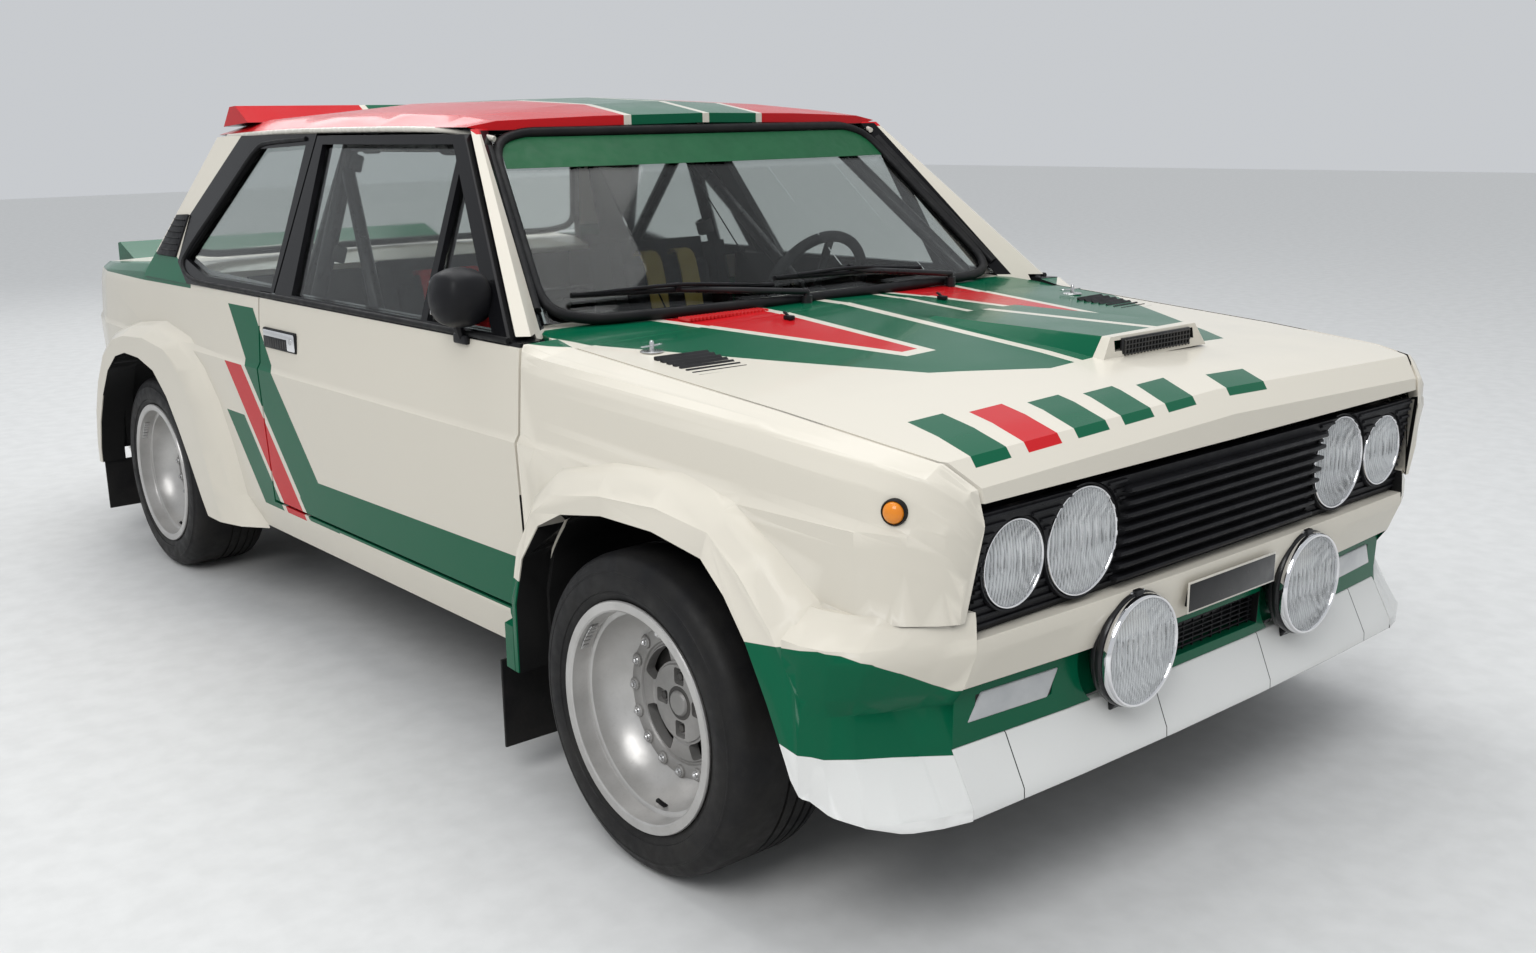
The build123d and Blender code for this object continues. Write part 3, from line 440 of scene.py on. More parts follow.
BLACK_RUBBER = Finish("black_rubber", (0.007, 0.007, 0.008), (0.012, 0.012, 0.012), 0.5, bump=0.12, dust=0.08)
TYRE_RUBBER = Finish("tyre_rubber", (0.008, 0.008, 0.009), (0.014, 0.0135, 0.013), 0.52, bump=0.15, coarse=60,
                     dust=0.08, dust_top=0.62)
BLACK_PLASTIC = Finish("satin_black_plastic", (0.006, 0.006, 0.007), (0.011, 0.011, 0.013), 0.46, bump=0.1,
                       fine=1400)
BLACK_PAINT = Finish("gloss_black_paint", (0.01, 0.01, 0.011), (0.018, 0.018, 0.019), 0.3, coat=0.3, bump=0.03)
UNDER_SEAL = Finish("under_seal", (0.02, 0.019, 0.018), (0.04, 0.037, 0.034), 0.85, bump=0.35, coarse=90,
                    dust=0.5, dust_top=0.9)
RIM_GREY = Finish("cast_rim_grey", (0.46, 0.45, 0.435), (0.54, 0.53, 0.515), 0.33, metallic=0.55, bump=0.08,
                  fine=900, dust=0.25, dust_top=0.6)
CAST_RIM = Finish("cast_centre_grey", (0.27, 0.265, 0.255), (0.34, 0.33, 0.32), 0.42, metallic=0.5, bump=0.14,
                  coarse=120, fine=900, dust=0.3, dust_top=0.6)
STEEL = Finish("bright_steel", (0.6, 0.6, 0.6), (0.7, 0.7, 0.7), 0.22, metallic=1.0, bump=0.03)
DARK_STEEL = Finish("dark_steel", (0.05, 0.05, 0.05), (0.09, 0.085, 0.08), 0.5, metallic=0.6, bump=0.12, dust=0.4)
CHROME = Finish("chrome", (0.86, 0.86, 0.87), (0.8, 0.8, 0.82), 0.07, metallic=1.0, bump=0.01)
MIRROR_METAL = Finish("mirror_metal", (0.8, 0.8, 0.8), (0.76, 0.76, 0.77), 0.1, metallic=1.0, bump=0.0)
# The reflector's flutes are darkened with painted shade.
LAMP_METAL = Finish("lamp_reflector", (0.86, 0.86, 0.85), (0.74, 0.74, 0.73), 0.12, metallic=1.0, flutes=0.0135)
CAST_METAL = Finish("engine_casting", (0.16, 0.16, 0.16), (0.24, 0.23, 0.22), 0.6, metallic=0.6, bump=0.3)
PIPE_METAL = Finish("exhaust_metal", (0.2, 0.18, 0.16), (0.33, 0.29, 0.25), 0.48, metallic=0.8, bump=0.15)
BLACK_CLOTH = Finish("black_cloth", (0.02, 0.02, 0.022), (0.035, 0.035, 0.038), 0.9, bump=0.4, fine=1500)
SEAT_CLOTH = Finish("seat_cloth", (0.016, 0.016, 0.018), (0.03, 0.03, 0.034), 0.92, bump=0.5, fine=1800)
YELLOW_WEBBING = Finish("yellow_webbing", (0.62, 0.46, 0.14), (0.7, 0.54, 0.18), 0.8, bump=0.5, fine=1800)
RED_WEBBING = Finish("red_webbing", (0.42, 0.014, 0.016), (0.5, 0.02, 0.022), 0.8, bump=0.5, fine=1800)
AMBER_GLASS = Finish("amber_glass", (0.72, 0.2, 0.01), (0.8, 0.28, 0.02), 0.18, coat=0.6, bump=0.02)
RED_GLASS = Finish("red_glass", (0.42, 0.006, 0.008), (0.5, 0.012, 0.012), 0.18, coat=0.6, bump=0.02)
MILK_LENS = Finish("milk_lens", (0.4, 0.41, 0.42), (0.5, 0.51, 0.51), 0.16, coat=0.8, coarse=220)
PLATE_BLACK = Finish("plate_black", (0.008, 0.008, 0.009), (0.014, 0.014, 0.015), 0.32, coat=0.4, bump=0.02)
PALE_PAINT = Finish("pale_paint", (0.6, 0.57, 0.5), (0.64, 0.61, 0.54), 0.26, coat=0.5, bump=0.02)
RED_PAINT = Finish("red_paint", (0.56, 0.02, 0.022), (0.6, 0.026, 0.028), 0.24, coat=0.6, bump=0.02)
GREEN_FILM = Finish("green_film", (0.006, 0.085, 0.03), (0.008, 0.095, 0.034), 0.45, bump=0.02)
FLOOR_PAINT = Finish("floor_paint", (0.6, 0.6, 0.59), (0.64, 0.64, 0.63), 0.8, bump=0.02)


class Face(Enum):
    """Which side of the body a painted area lies on."""

    FLANK = "flank"
    GLAZED = "glazed"
    TOP = "top"
    EVEN = "even"
    ROOF = "roof"
    PILLAR = "pillar"
    FRONT = "front"


@dataclass(frozen=True)
class Band:
    """One painted area with straight edges, in metres on its face."""

    face: Face
    shade: Shade
    corners: tuple[Point2, ...]


def stripes(face: Face, shade: Shade, low: float, high: float, *spans: Point2) -> tuple[Band, ...]:
    """Straight bands from one end of a face to the other.

    Args:
        face: The face.
        shade: Their colour.
        low: First end.
        high: Other end.
        spans: Both sides of each band.

    Returns:
        The bands.
    """
    return tuple(Band(face, shade, ((a, low), (b, low), (b, high), (a, high))) for a, b in spans)


FLANK_BANDS = (
    Band(Face.FLANK, Shade.GREEN, ((-1.12, 0.2), (-1.12, 0.431), (-0.955, 0.473), (-0.92, 0.355), (-0.92, 0.2))),
    Band(Face.FLANK, Shade.GREEN, ((-0.96, 0.355), (-0.96, 0.473), (0.06, 0.458), (0.06, 0.352))),
    Band(Face.FLANK, Shade.GREEN, ((-0.15, 0.35), (0.015, 0.35), (0.427, 0.854), (0.262, 0.855))),
    Band(Face.FLANK, Shade.CREAM, ((0.015, 0.345), (0.31, 0.345), (0.52, 0.602), (0.52, 0.72), (0.322, 0.72))),
    Band(Face.FLANK, Shade.RED, ((0.037, 0.345), (0.15, 0.345), (0.444, 0.705), (0.331, 0.705))),
    Band(Face.FLANK, Shade.GREEN, ((0.172, 0.345), (0.292, 0.345), (0.476, 0.57), (0.356, 0.57))),
    Band(Face.FLANK, Shade.GREEN, ((-1.52, 0.2), (-1.52, 0.48), (-1.86, 0.531), (-1.89, 0.528), (-1.922, 0.515),
                                   (-1.94, 0.496), (-1.963, 0.45), (-1.963, 0.2))),
    Band(Face.FLANK, Shade.GREEN, ((-1.955, 0.2), (-1.955, 0.45), (-2.03, 0.442), (-2.03, 0.2))),
    Band(Face.FLANK, Shade.WHITE, ((-1.52, 0.2), (-1.52, 0.404), (-2.03, 0.326), (-2.03, 0.2))),
    Band(Face.EVEN, Shade.GREEN, ((0.66, -1.098), (0.79, -1.0), (0.79, -0.9), (0.66, -0.9))),
    Band(Face.GLAZED, Shade.GREEN, ((0.7, 0.872), (0.7, 0.9), (0.875, 0.952), (1.97, 0.952), (1.97, 0.862))),
    Band(Face.GLAZED, Shade.BLACK, ((0.02, 0.884), (0.02, 1.28), (0.69, 1.276), (0.868, 1.06), (0.838, 0.935),
                                    (0.72, 0.884))),
)
DOOR_BANDS = FLANK_BANDS[1:6] + stripes(Face.GLAZED, Shade.BLACK, 0.884, 1.32, (-1.1, 0.3))
NOSE_BARS = ((-0.6, -1.8, 0.08, Shade.GREEN), (-0.48, -1.82, 0.08, Shade.RED), (-0.36, -1.84, 0.08, Shade.GREEN),
             (-0.24, -1.86, 0.08, Shade.GREEN), (-0.12, -1.88, 0.08, Shade.GREEN), (0.06, -1.9, 0.12, Shade.GREEN))
BONNET_BANDS = (
    Band(Face.TOP, Shade.GREEN, ((-0.73, -0.9), (0.73, -0.9), (0.73, -1.2), (0.42, -1.71), (-0.15, -1.722),
                                 (-0.356, -1.61), (-0.492, -1.377), (-0.66, -1.098))),
    Band(Face.TOP, Shade.CREAM, ((-0.462, -0.9), (-0.168, -0.9), (-0.208, -1.5), (-0.286, -1.5))),
    Band(Face.TOP, Shade.RED, ((-0.438, -0.9), (-0.192, -0.9), (-0.226, -1.47), (-0.268, -1.47))),
    Band(Face.TOP, Shade.CREAM, ((0.008, -0.9), (-0.018, -0.9), (-0.082, -1.74), (-0.058, -1.74))),
    Band(Face.TOP, Shade.CREAM, ((0.178, -0.9), (0.462, -0.9), (0.432, -1.42), (0.352, -1.42))),
    Band(Face.TOP, Shade.RED, ((0.202, -0.9), (0.438, -0.9), (0.41, -1.39), (0.37, -1.39))),
    *stripes(Face.TOP, Shade.CREAM, -0.9, -1.74, (0.154, 0.178)),
    *(Band(Face.TOP, shade, ((x, y), (x + w, y), (x + w - 0.04, -1.975), (x - 0.04, -1.975)))
      for x, y, w, shade in NOSE_BARS),
)
ROOF_BANDS = (
    *stripes(Face.GLAZED, Shade.RED, 1.296, 1.5, (-0.7, 1.1)),
    Band(Face.ROOF, Shade.RED, ((-0.58, -0.64), (0.58, -0.64), (0.64, -0.44), (0.64, 0.95), (-0.64, 0.95),
                                (-0.64, -0.44))),
    *stripes(Face.ROOF, Shade.CREAM, -0.64, 0.95, (-0.226, 0.186)),
    *stripes(Face.ROOF, Shade.GREEN, -0.64, 0.95, (-0.206, -0.009), (0.011, 0.166)),
    Band(Face.PILLAR, Shade.BLACK, ((0.5, 1.28), (0.592, 1.28), (0.706, 0.9), (0.5, 0.9))),
)
FRONT_BANDS = stripes(Face.FRONT, Shade.GREEN, 0.2, 0.4495, (-0.72, 0.72))
DAM_BANDS = stripes(Face.FRONT, Shade.BLACK, 0.2, 0.4,
                    *((x - 0.0011, x + 0.0011) for x in (-0.534, -0.165, 0.165, 0.534)))
BOOT_BANDS = stripes(Face.TOP, Shade.GREEN, 1.77, 2.05, (-0.75, 0.75))


@dataclass(frozen=True)
class Livery(Surface):
    """Glossy body paint with straight bands and painted shade, placed in the car's own metres."""

    base: Shade = Shade.CREAM
    bands: tuple[Band, ...] = ()
    # Reach from the axle and width across of the painted shade on faces turned towards a wheel, then of the wheel
    # houses.
    lining: Point2 = (0.52, 0.8552)
    houses: tuple[Point2, ...] = ((0.42, 0.785), (0.398, 0.815))

    def shaded_faces(self, pad: Pad, x: Socket, y: Socket, z: Socket) -> Socket:
        """Mask of painted shade: faces that look into the cab, at the ground or at a wheel, which are painted
        near-black.

        Args:
            pad: Pad of the material's tree.
            x: X of the surface.
            y: Y of the surface.
            z: Z of the surface.

        Returns:
            The mask's socket.
        """
        across = pad.math("ABSOLUTE", x)
        facing = pad.split(pad.add("ShaderNodeTexCoord").outputs["Normal"])
        inward = pad.below(pad.times(facing[0], pad.math("SIGN", x)), -0.35)
        masks = [pad.times(inward, pad.below(facing[2], 0.28)), pad.below(facing[2], -0.6)]
        for axle in (FRONT_AXLE, REAR_AXLE):
            dy = pad.math("SUBTRACT", y, axle)
            dz = pad.math("SUBTRACT", z, AXLE_Z)
            reach = pad.math("SQRT", pad.math("MULTIPLY_ADD", dy, dy, pad.times(dz, dz)))
            toward = pad.math("MULTIPLY_ADD", dy, facing[1], pad.times(dz, facing[2]))
            lining = pad.below(toward, pad.times(reach, -0.45))
            for mask, (radius, outer) in ((lining, self.lining), *((None, house) for house in self.houses)):
                near = pad.times(pad.below(reach, radius), pad.below(across, outer))
                masks.append(near if mask is None else pad.times(mask, near))
        return pad.any_of(masks)

    def colours(self, pad: Pad) -> Socket:
        """Colour of the paint at each place on the body, with painted shade on faces that look into the cab, at the
        ground or at a wheel.

        Args:
            pad: Pad of the material's tree.

        Returns:
            The colour's socket.
        """
        x, y, z = pad.split(pad.place())
        across = pad.math("ABSOLUTE", x)
        gates = {
            Face.FLANK: (y, z, lambda: pad.times(pad.above(across, 0.6), pad.below(z, 0.9))),
            Face.GLAZED: (y, z, lambda: pad.above(across, 0.5)),
            Face.TOP: (x, y, lambda: pad.above(z, 0.762)),
            Face.EVEN: (across, y, lambda: pad.above(z, 0.86)),
            Face.ROOF: (x, y, lambda: pad.above(z, 1.272)),
            Face.PILLAR: (across, z, lambda: pad.below(y, -0.5)),
            Face.FRONT: (x, z, lambda: pad.below(y, -1.8)),
        }
        out: object = self.base
        for band in self.bands:
            u, v, gate = gates[band.face]
            out = pad.mix(pad.times(gate(), pad.polygon(u, v, band.corners)), out, band.shade)
        # Painted shade: faces turned away from the light are painted near-black.
        return pad.mix(self.shaded_faces(pad, x, y, z), out, Shade.LINING)

    def wire(self, pad: Pad, shader: Node) -> None:
        """Wire the bands, a little dust and orange peel.

        Args:
            pad: Pad of the material's tree.
            shader: The material's shader.
        """
        dust = Groups.use(pad, Groups.dust, Amount=0.05, Top=0.5)
        rough = pad.fit(pad.noise(pad.place(), 6.0, 5.0), 0.3, 0.7, 0.16, 0.26)
        pad.fill(shader, Base_Color=pad.mix(dust, self.colours(pad), Shade.PALE_DUST),
                 Roughness=pad.math("MAXIMUM", rough, pad.times(dust, 0.7)), IOR=1.24, Specular_IOR_Level=0.35,
                 Coat_Weight=0.18, Coat_IOR=1.32, Coat_Roughness=0.04)
        pad.bump(shader, 0.04, 0.004, Coarse=8.0, Fine=260.0, Balance=0.25)


@dataclass(frozen=True)
class Glass(Surface):
    """Clear or fluted glass, thin enough to see through."""

    tint: Colour
    roughness: float = 0.02
    ior: float = 1.45
    alpha: float = 1.0
    flute: float = 0.0066

    def wire(self, pad: Pad, shader: Node) -> None:
        """Wire the smears, and for a lens a pale, partly opaque layer whose opacity follows the flutes as painted
        sheen.

        Args:
            pad: Pad of the material's tree.
            shader: The material's shader.
        """
        place = pad.place()
        smear = pad.fit(pad.noise(place, 5.0, 5.0), 0.45, 0.8, self.roughness, self.roughness + 0.05)
        pad.fill(shader, Roughness=smear, Base_Color=self.tint, IOR=self.ior)
        if self.alpha < 1.0:
            # Painted sheen: the lens's pale colour shows in stripes of opacity along its flutes, standing in for light
            # refracted by the glass.
            x, _, z = pad.split(place)
            warp = pad.times(pad.noise(place, 30.0, 2.0), 5.0)
            upright = pad.math("SINE", pad.math("MULTIPLY_ADD", x, math.tau / self.flute, warp))
            level = pad.math("SINE", pad.times(z, math.tau / (self.flute * 7.0)))
            lines = pad.math("MULTIPLY_ADD", level, 0.25, upright)
            pad.fill(shader, Alpha=pad.fit(lines, -1.0, 1.0, self.alpha * 0.35, self.alpha * 1.9))
        else:
            pad.fill(shader, Transmission_Weight=1.0)


WINDOW_GLASS = Glass("window_glass", (0.7, 0.735, 0.72), ior=1.28)
# The lens is drawn with painted sheen, not as clear glass.
LAMP_GLASS = Glass("fluted_lens_glass", (0.7, 0.72, 0.73), 0.04, alpha=0.34)


class Bench:
    """Modelling steps that the sub-assemblies share."""

    @staticmethod
    def clear() -> None:
        """Leave edit mode and deselect everything."""
        if bpy.context.object and bpy.context.object.mode != "OBJECT":
            bpy.ops.object.mode_set(mode="OBJECT")
        bpy.ops.object.select_all(action="DESELECT")

    @classmethod
    def pick(cls, obj: Piece) -> Piece:
        """Make one object the selected and active one.

        Args:
            obj: The object.

        Returns:
            The object.
        """
        cls.clear()
        obj.select_set(True)
        bpy.context.view_layer.objects.active = obj
        return obj

    @classmethod
    @contextmanager
    def editing(cls, obj: Piece) -> Iterator[None]:
        """Edit mode on one piece, with its whole mesh selected.

        Args:
            obj: The piece.

        Yields:
            Nothing; the block runs in edit mode.
        """
        cls.pick(obj)
        bpy.ops.object.mode_set(mode="EDIT")
        bpy.ops.mesh.select_all(action="SELECT")
        yield
        bpy.ops.object.mode_set(mode="OBJECT")

    @classmethod
    def settle(cls, obj: Piece) -> None:
        """Move an object's place into its mesh."""
        cls.pick(obj)
        bpy.ops.object.transform_apply(location=True, rotation=True, scale=True)

    @classmethod
    def apply(cls, obj: Piece, kind: str, **settings: object) -> Piece:
        """Add a modifier and apply it.

        Args:
            obj: The piece.
            kind: Blender's name of the modifier.
            settings: The modifier's settings.

        Returns:
            The piece.
        """
        cls.pick(obj)
        modifier = obj.modifiers.new(kind.lower(), kind)
        for name, value in settings.items():
            setattr(modifier, name, value)
        bpy.ops.object.modifier_apply(modifier=modifier.name)
        return obj

    @classmethod
    def smooth(cls, obj: Piece, angle: float = 40.0) -> Piece:
        """Shade smooth up to an angle in degrees.

        Args:
            obj: The piece.
            angle: The angle.

        Returns:
            The piece.
        """
        cls.pick(obj)
        bpy.ops.object.shade_smooth_by_angle(angle=math.radians(angle))
        return obj

    @classmethod
    def dress(cls, obj: Piece, finish: Surface | None) -> Piece:
        """Give a piece its one material, if it has one.

        Args:
            obj: The piece.
            finish: The finish, or None for a cutter.

        Returns:
            The piece.
        """
        obj.data.materials.clear()
        if finish:
            obj.data.materials.append(finish.material())
        return obj

    @classmethod
    def outward(cls, obj: Piece) -> Piece:
        """Merge doubles and turn all faces outwards.

        Args:
            obj: The piece.

        Returns:
            The piece.
        """
        with cls.editing(obj):
            bpy.ops.mesh.remove_doubles(threshold=0.00002)
            bpy.ops.mesh.delete_loose(use_verts=True, use_edges=True, use_faces=False)
            bpy.ops.mesh.select_all(action="SELECT")
            bpy.ops.mesh.normals_make_consistent(inside=False)
        return obj

    @classmethod
    def bevel(cls, obj: Piece, width: float, segments: int = 2, angle: float = 30.0) -> Piece:
        """Round the edges sharper than an angle in degrees; a width of 0 leaves them."""
        return cls.apply(obj, "BEVEL", width=width, segments=segments, limit_method="ANGLE",
                         angle_limit=math.radians(angle), use_clamp_overlap=True) if width else obj

    @classmethod
    def block(cls, finish: Surface | None, low: Point3, high: Point3, edge: float = 0.001,
              segments: int = 2) -> Piece:
        """A box between two corners with rounded edges.

        Args:
            finish: Its finish.
            low: One corner.
            high: The opposite corner.
            edge: Width of the rounding, or 0.
            segments: Steps of the rounding.

        Returns:
            The part.
        """
        cls.clear()
        bpy.ops.mesh.primitive_cube_add(size=1)
        obj = bpy.context.object
        obj.location = (Vector(low) + Vector(high)) / 2
        obj.scale = [abs(h - l) for l, h in zip(low, high)]
        cls.settle(obj)
        return cls.dress(cls.bevel(obj, edge, segments), finish)

    @classmethod
    def grid(cls, columns: int, rows: int) -> Piece:
        """A flat grid from -1 to 1, to be shaped point by point.

        Args:
            columns: Faces along X.
            rows: Faces along Y.

        Returns:
            The grid.
        """
        cls.clear()
        bpy.ops.mesh.primitive_grid_add(x_subdivisions=columns, y_subdivisions=rows, size=2)
        return bpy.context.object

    @classmethod
    def loop(cls, places: list[Vector], fill_type: str = "NOTHING") -> Piece:
        """A circle primitive whose points are moved onto an outline.

        Args:
            places: The outline's points.
            fill_type: How Blender fills it.

        Returns:
            The outline.
        """
        cls.clear()
        bpy.ops.mesh.primitive_circle_add(vertices=len(places), fill_type=fill_type)
        obj = bpy.context.object
        for vertex, place in zip(obj.data.vertices, places):
            vertex.co = place
        return obj

    @classmethod
    def lathe(cls, finish: Surface, profile: list[Point2], centre: Point3, axis: Point3, steps: int = 64) -> Piece:
        """Spin a closed outline about an axis.

        Args:
            finish: Its finish.
            profile: Pairs of distance along the axis and radius.
            centre: Point that distances are taken from.
            axis: Direction of the axis.
            steps: Steps of the turn.

        Returns:
            The part.
        """
        start, along = Vector(centre), Vector(axis).normalized()
        across = along.orthogonal().normalized()
        obj = cls.loop([start + along * reach + across * radius for reach, radius in profile])
        with cls.editing(obj):
            bpy.ops.mesh.spin(steps=steps, angle=math.tau, center=start, axis=along, use_auto_merge=True)
        return cls.dress(cls.outward(obj), finish)

    @classmethod
    def prism(cls, finish: Surface | None, outline: list[Point3], push: Point3, edge: float = 0.001,
              segments: int = 2) -> Piece:
        """Extrude a flat outline and round its edges.

        Args:
            finish: Its finish.
            outline: Corners of the outline.
            push: Way and length of the extrusion.
            edge: Width of the rounding, or 0.
            segments: Steps of the rounding.

        Returns:
            The part.
        """
        obj = cls.loop([Vector(p) for p in outline], "NGON")
        with cls.editing(obj):
            bpy.ops.mesh.extrude_region_move(TRANSFORM_OT_translate={"value": push})
        return cls.dress(cls.bevel(cls.outward(obj), edge, segments), finish)

    @classmethod
    def tube(cls, finish: Surface, points: list[Point3], radius: float, cyclic: bool = False) -> Piece:
        """A round bar along a smooth line.

        Args:
            finish: Its finish.
            points: Control points of the line.
            radius: Radius of the bar.
            cyclic: Whether the line closes on itself.

        Returns:
            The part.
        """
        data = bpy.data.curves.new("tube", "CURVE")
        data.dimensions = "3D"
        data.bevel_depth = radius
        data.bevel_resolution = 2
        data.use_fill_caps = not cyclic
        data.resolution_u = 4
        spline = data.splines.new("NURBS")
        spline.points.add(len(points) - 1)
        for point, place in zip(spline.points, points):
            point.co = (*place, 1.0)
        spline.order_u = 3
        spline.use_endpoint_u = not cyclic
        spline.use_cyclic_u = cyclic
        obj = bpy.data.objects.new("tube", data)
        bpy.context.scene.collection.objects.link(obj)
        cls.pick(obj)
        bpy.ops.object.convert(target="MESH")
        return cls.dress(cls.outward(bpy.context.object), finish)

    @classmethod
    def cut(cls, obj: Piece, cutter: Piece) -> None:
        """Take a cutter out of a piece and delete the cutter."""
        cls.apply(obj, "BOOLEAN", object=cutter, operation="DIFFERENCE", solver="EXACT")
        bpy.data.objects.remove(cutter, do_unlink=True)

    @classmethod
    def copy(cls, obj: Piece, move: Matrix) -> Piece:
        """Copy an object with its own mesh, moved or mirrored.

        Args:
            obj: Object to copy.
            move: Matrix applied to the copy's mesh.

        Returns:
            The copy.
        """
        made = bpy.data.objects.new("copy", obj.data.copy())
        bpy.context.scene.collection.objects.link(made)
        made.data.transform(move)
        if move.determinant() < 0:
            made.data.flip_normals()
        return made

    @classmethod
    def join(cls, parts: list[Piece], name: str = "part") -> Piece:
        """Join parts into one piece.

        Args:
            parts: The parts.
            name: Name of the piece.

        Returns:
            The piece.
        """
        cls.pick(parts[0])
        for part in parts:
            part.select_set(True)
        if len(parts) > 1:
            bpy.ops.object.join()
        parts[0].name = name
        return parts[0]

    @classmethod
    def around(cls, obj: Piece, centre: Vector, axis: Vector, angles: Iterable[float]) -> Piece:
        """Copy a part to more angles about an axis, and join the copies.

        Args:
            obj: The part at angle 0, which goes.
            centre: A point on the axis.
            axis: Direction of the axis.
            angles: Angles in degrees.

        Returns:
            The joined part.
        """
        to, back = Matrix.Translation(centre), Matrix.Translation(-centre)
        copies = [cls.copy(obj, to @ Matrix.Rotation(math.radians(angle), 4, axis) @ back) for angle in angles]
        bpy.data.objects.remove(obj, do_unlink=True)
        return cls.join(copies)

    @classmethod
    def mount(cls, parts: list[Piece], name: str, body: str, angle: float = 35.0, mirrored: bool = False,
              node: str = "") -> Piece:
        """Join parts into one finished piece that rides on a body.

        Args:
            parts: The parts.
            name: Name of the piece.
            body: Body that it rides on.
            angle: Degrees up to which it is shaded smooth, or 0 to leave its shading.
            mirrored: Whether its mirror image on the car's other side is joined to it.
            node: CAD node that it replaces.

        Returns:
            The piece.
        """
        obj = cls.join(parts, name)
        if mirrored:
            obj = cls.join([obj, cls.copy(obj, MIRROR)], name)
        if angle:
            cls.smooth(obj, angle)
        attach(obj, body)
        if node:
            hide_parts(node)
        LOG.info("%s: %d faces", obj.name, len(obj.data.polygons))
        return obj

    @classmethod
    def pair(cls, parts: list[Piece], name: str, body: str, angle: float = 35.0) -> None:
        """Mount a piece of the car's right side, and its mirror image on the left.

        Args:
            parts: The parts of the right piece.
            name: Name of the pieces, with {} for right or left.
            body: Body that they ride on, with {} for r or l if it is a door.
            angle: Degrees up to which they are shaded smooth.
        """
        right = cls.join(parts)
        left = cls.copy(right, MIRROR)
        for obj, tag in ((right, "right"), (left, "left")):
            cls.mount([obj], name.format(tag), body.format(tag[0]), angle)


@dataclass
class Panel:
    """A body panel or a plain solid: the node's skin with rolled edges and its finish."""

    node: str
    body: str
    finish: Surface
    roll: float = 0.003
    angle: float = 55.0

    def build(self) -> None:
        """Make the piece and put it in place of its node."""
        piece = Bench.copy(NODES[self.node], Matrix())
        with Bench.editing(piece):
            bpy.ops.mesh.remove_doubles(threshold=0.00005)
            bpy.ops.mesh.dissolve_limited(angle_limit=math.radians(0.05))
        Bench.smooth(Bench.bevel(piece, self.roll), self.angle)
        if self.roll:
            Bench.apply(piece, "WEIGHTED_NORMAL", mode="FACE_AREA", weight=50, keep_sharp=True)
        Bench.dress(piece, self.finish)
        Bench.mount([piece], self.node + "_skin", self.body, angle=0, node=self.node)


@dataclass(frozen=True)
class Screen:
    """A curved window pane, by pairs at its lower and its upper edge."""

    half: Point2
    middle: Point2
    end: Point2
    height: Point2
    normal: Point2

    def point(self, u: float, v: float, proud: float = 0.0) -> Point3:
        """Place on the pane.

        Args:
            u: From -1 at the car's right to 1 at its left.
            v: From 0 at the lower edge to 1 at the upper edge.
            proud: Distance off the pane.

        Returns:
            The place.
        """
        half, middle, end, height = (a + (b - a) * v for a, b in (self.half, self.middle, self.end, self.height))
        return (u * half, middle + (end - middle) * u * u + self.normal[0] * proud, height + self.normal[1] * proud)

    def edge(self, proud: float) -> list[Point3]:
        """Closed line around the pane.

        Args:
            proud: Distance off the pane.

        Returns:
            Its points.
        """
        steps = [n / 8 for n in range(-7, 8)]
        rise = [0.06, 0.3, 0.5, 0.7, 0.94]
        line = [(u, 0.0) for u in steps] + [(1.0, v) for v in rise] + [(-u, 1.0) for u in steps]
        return [self.point(u, v, proud) for u, v in line + [(-1.0, v) for v in rise[::-1]]]


WINDSCREEN = Screen((0.672, 0.556), (-0.965, -0.57), (-0.893, -0.516), (0.906, 1.271), (-0.679, 0.734))
REAR_SCREEN = Screen((0.688, 0.574), (1.062, 0.866), (1.038, 0.85), (0.93, 1.266), (0.873, 0.488))


def wall(y: float, z: float, proud: float = 0.0) -> Point3:
    """Place on the sloping right side of the cab above the belt."""
    return (-(0.797 - (z - 0.892) * 0.4646 + proud), y, z)


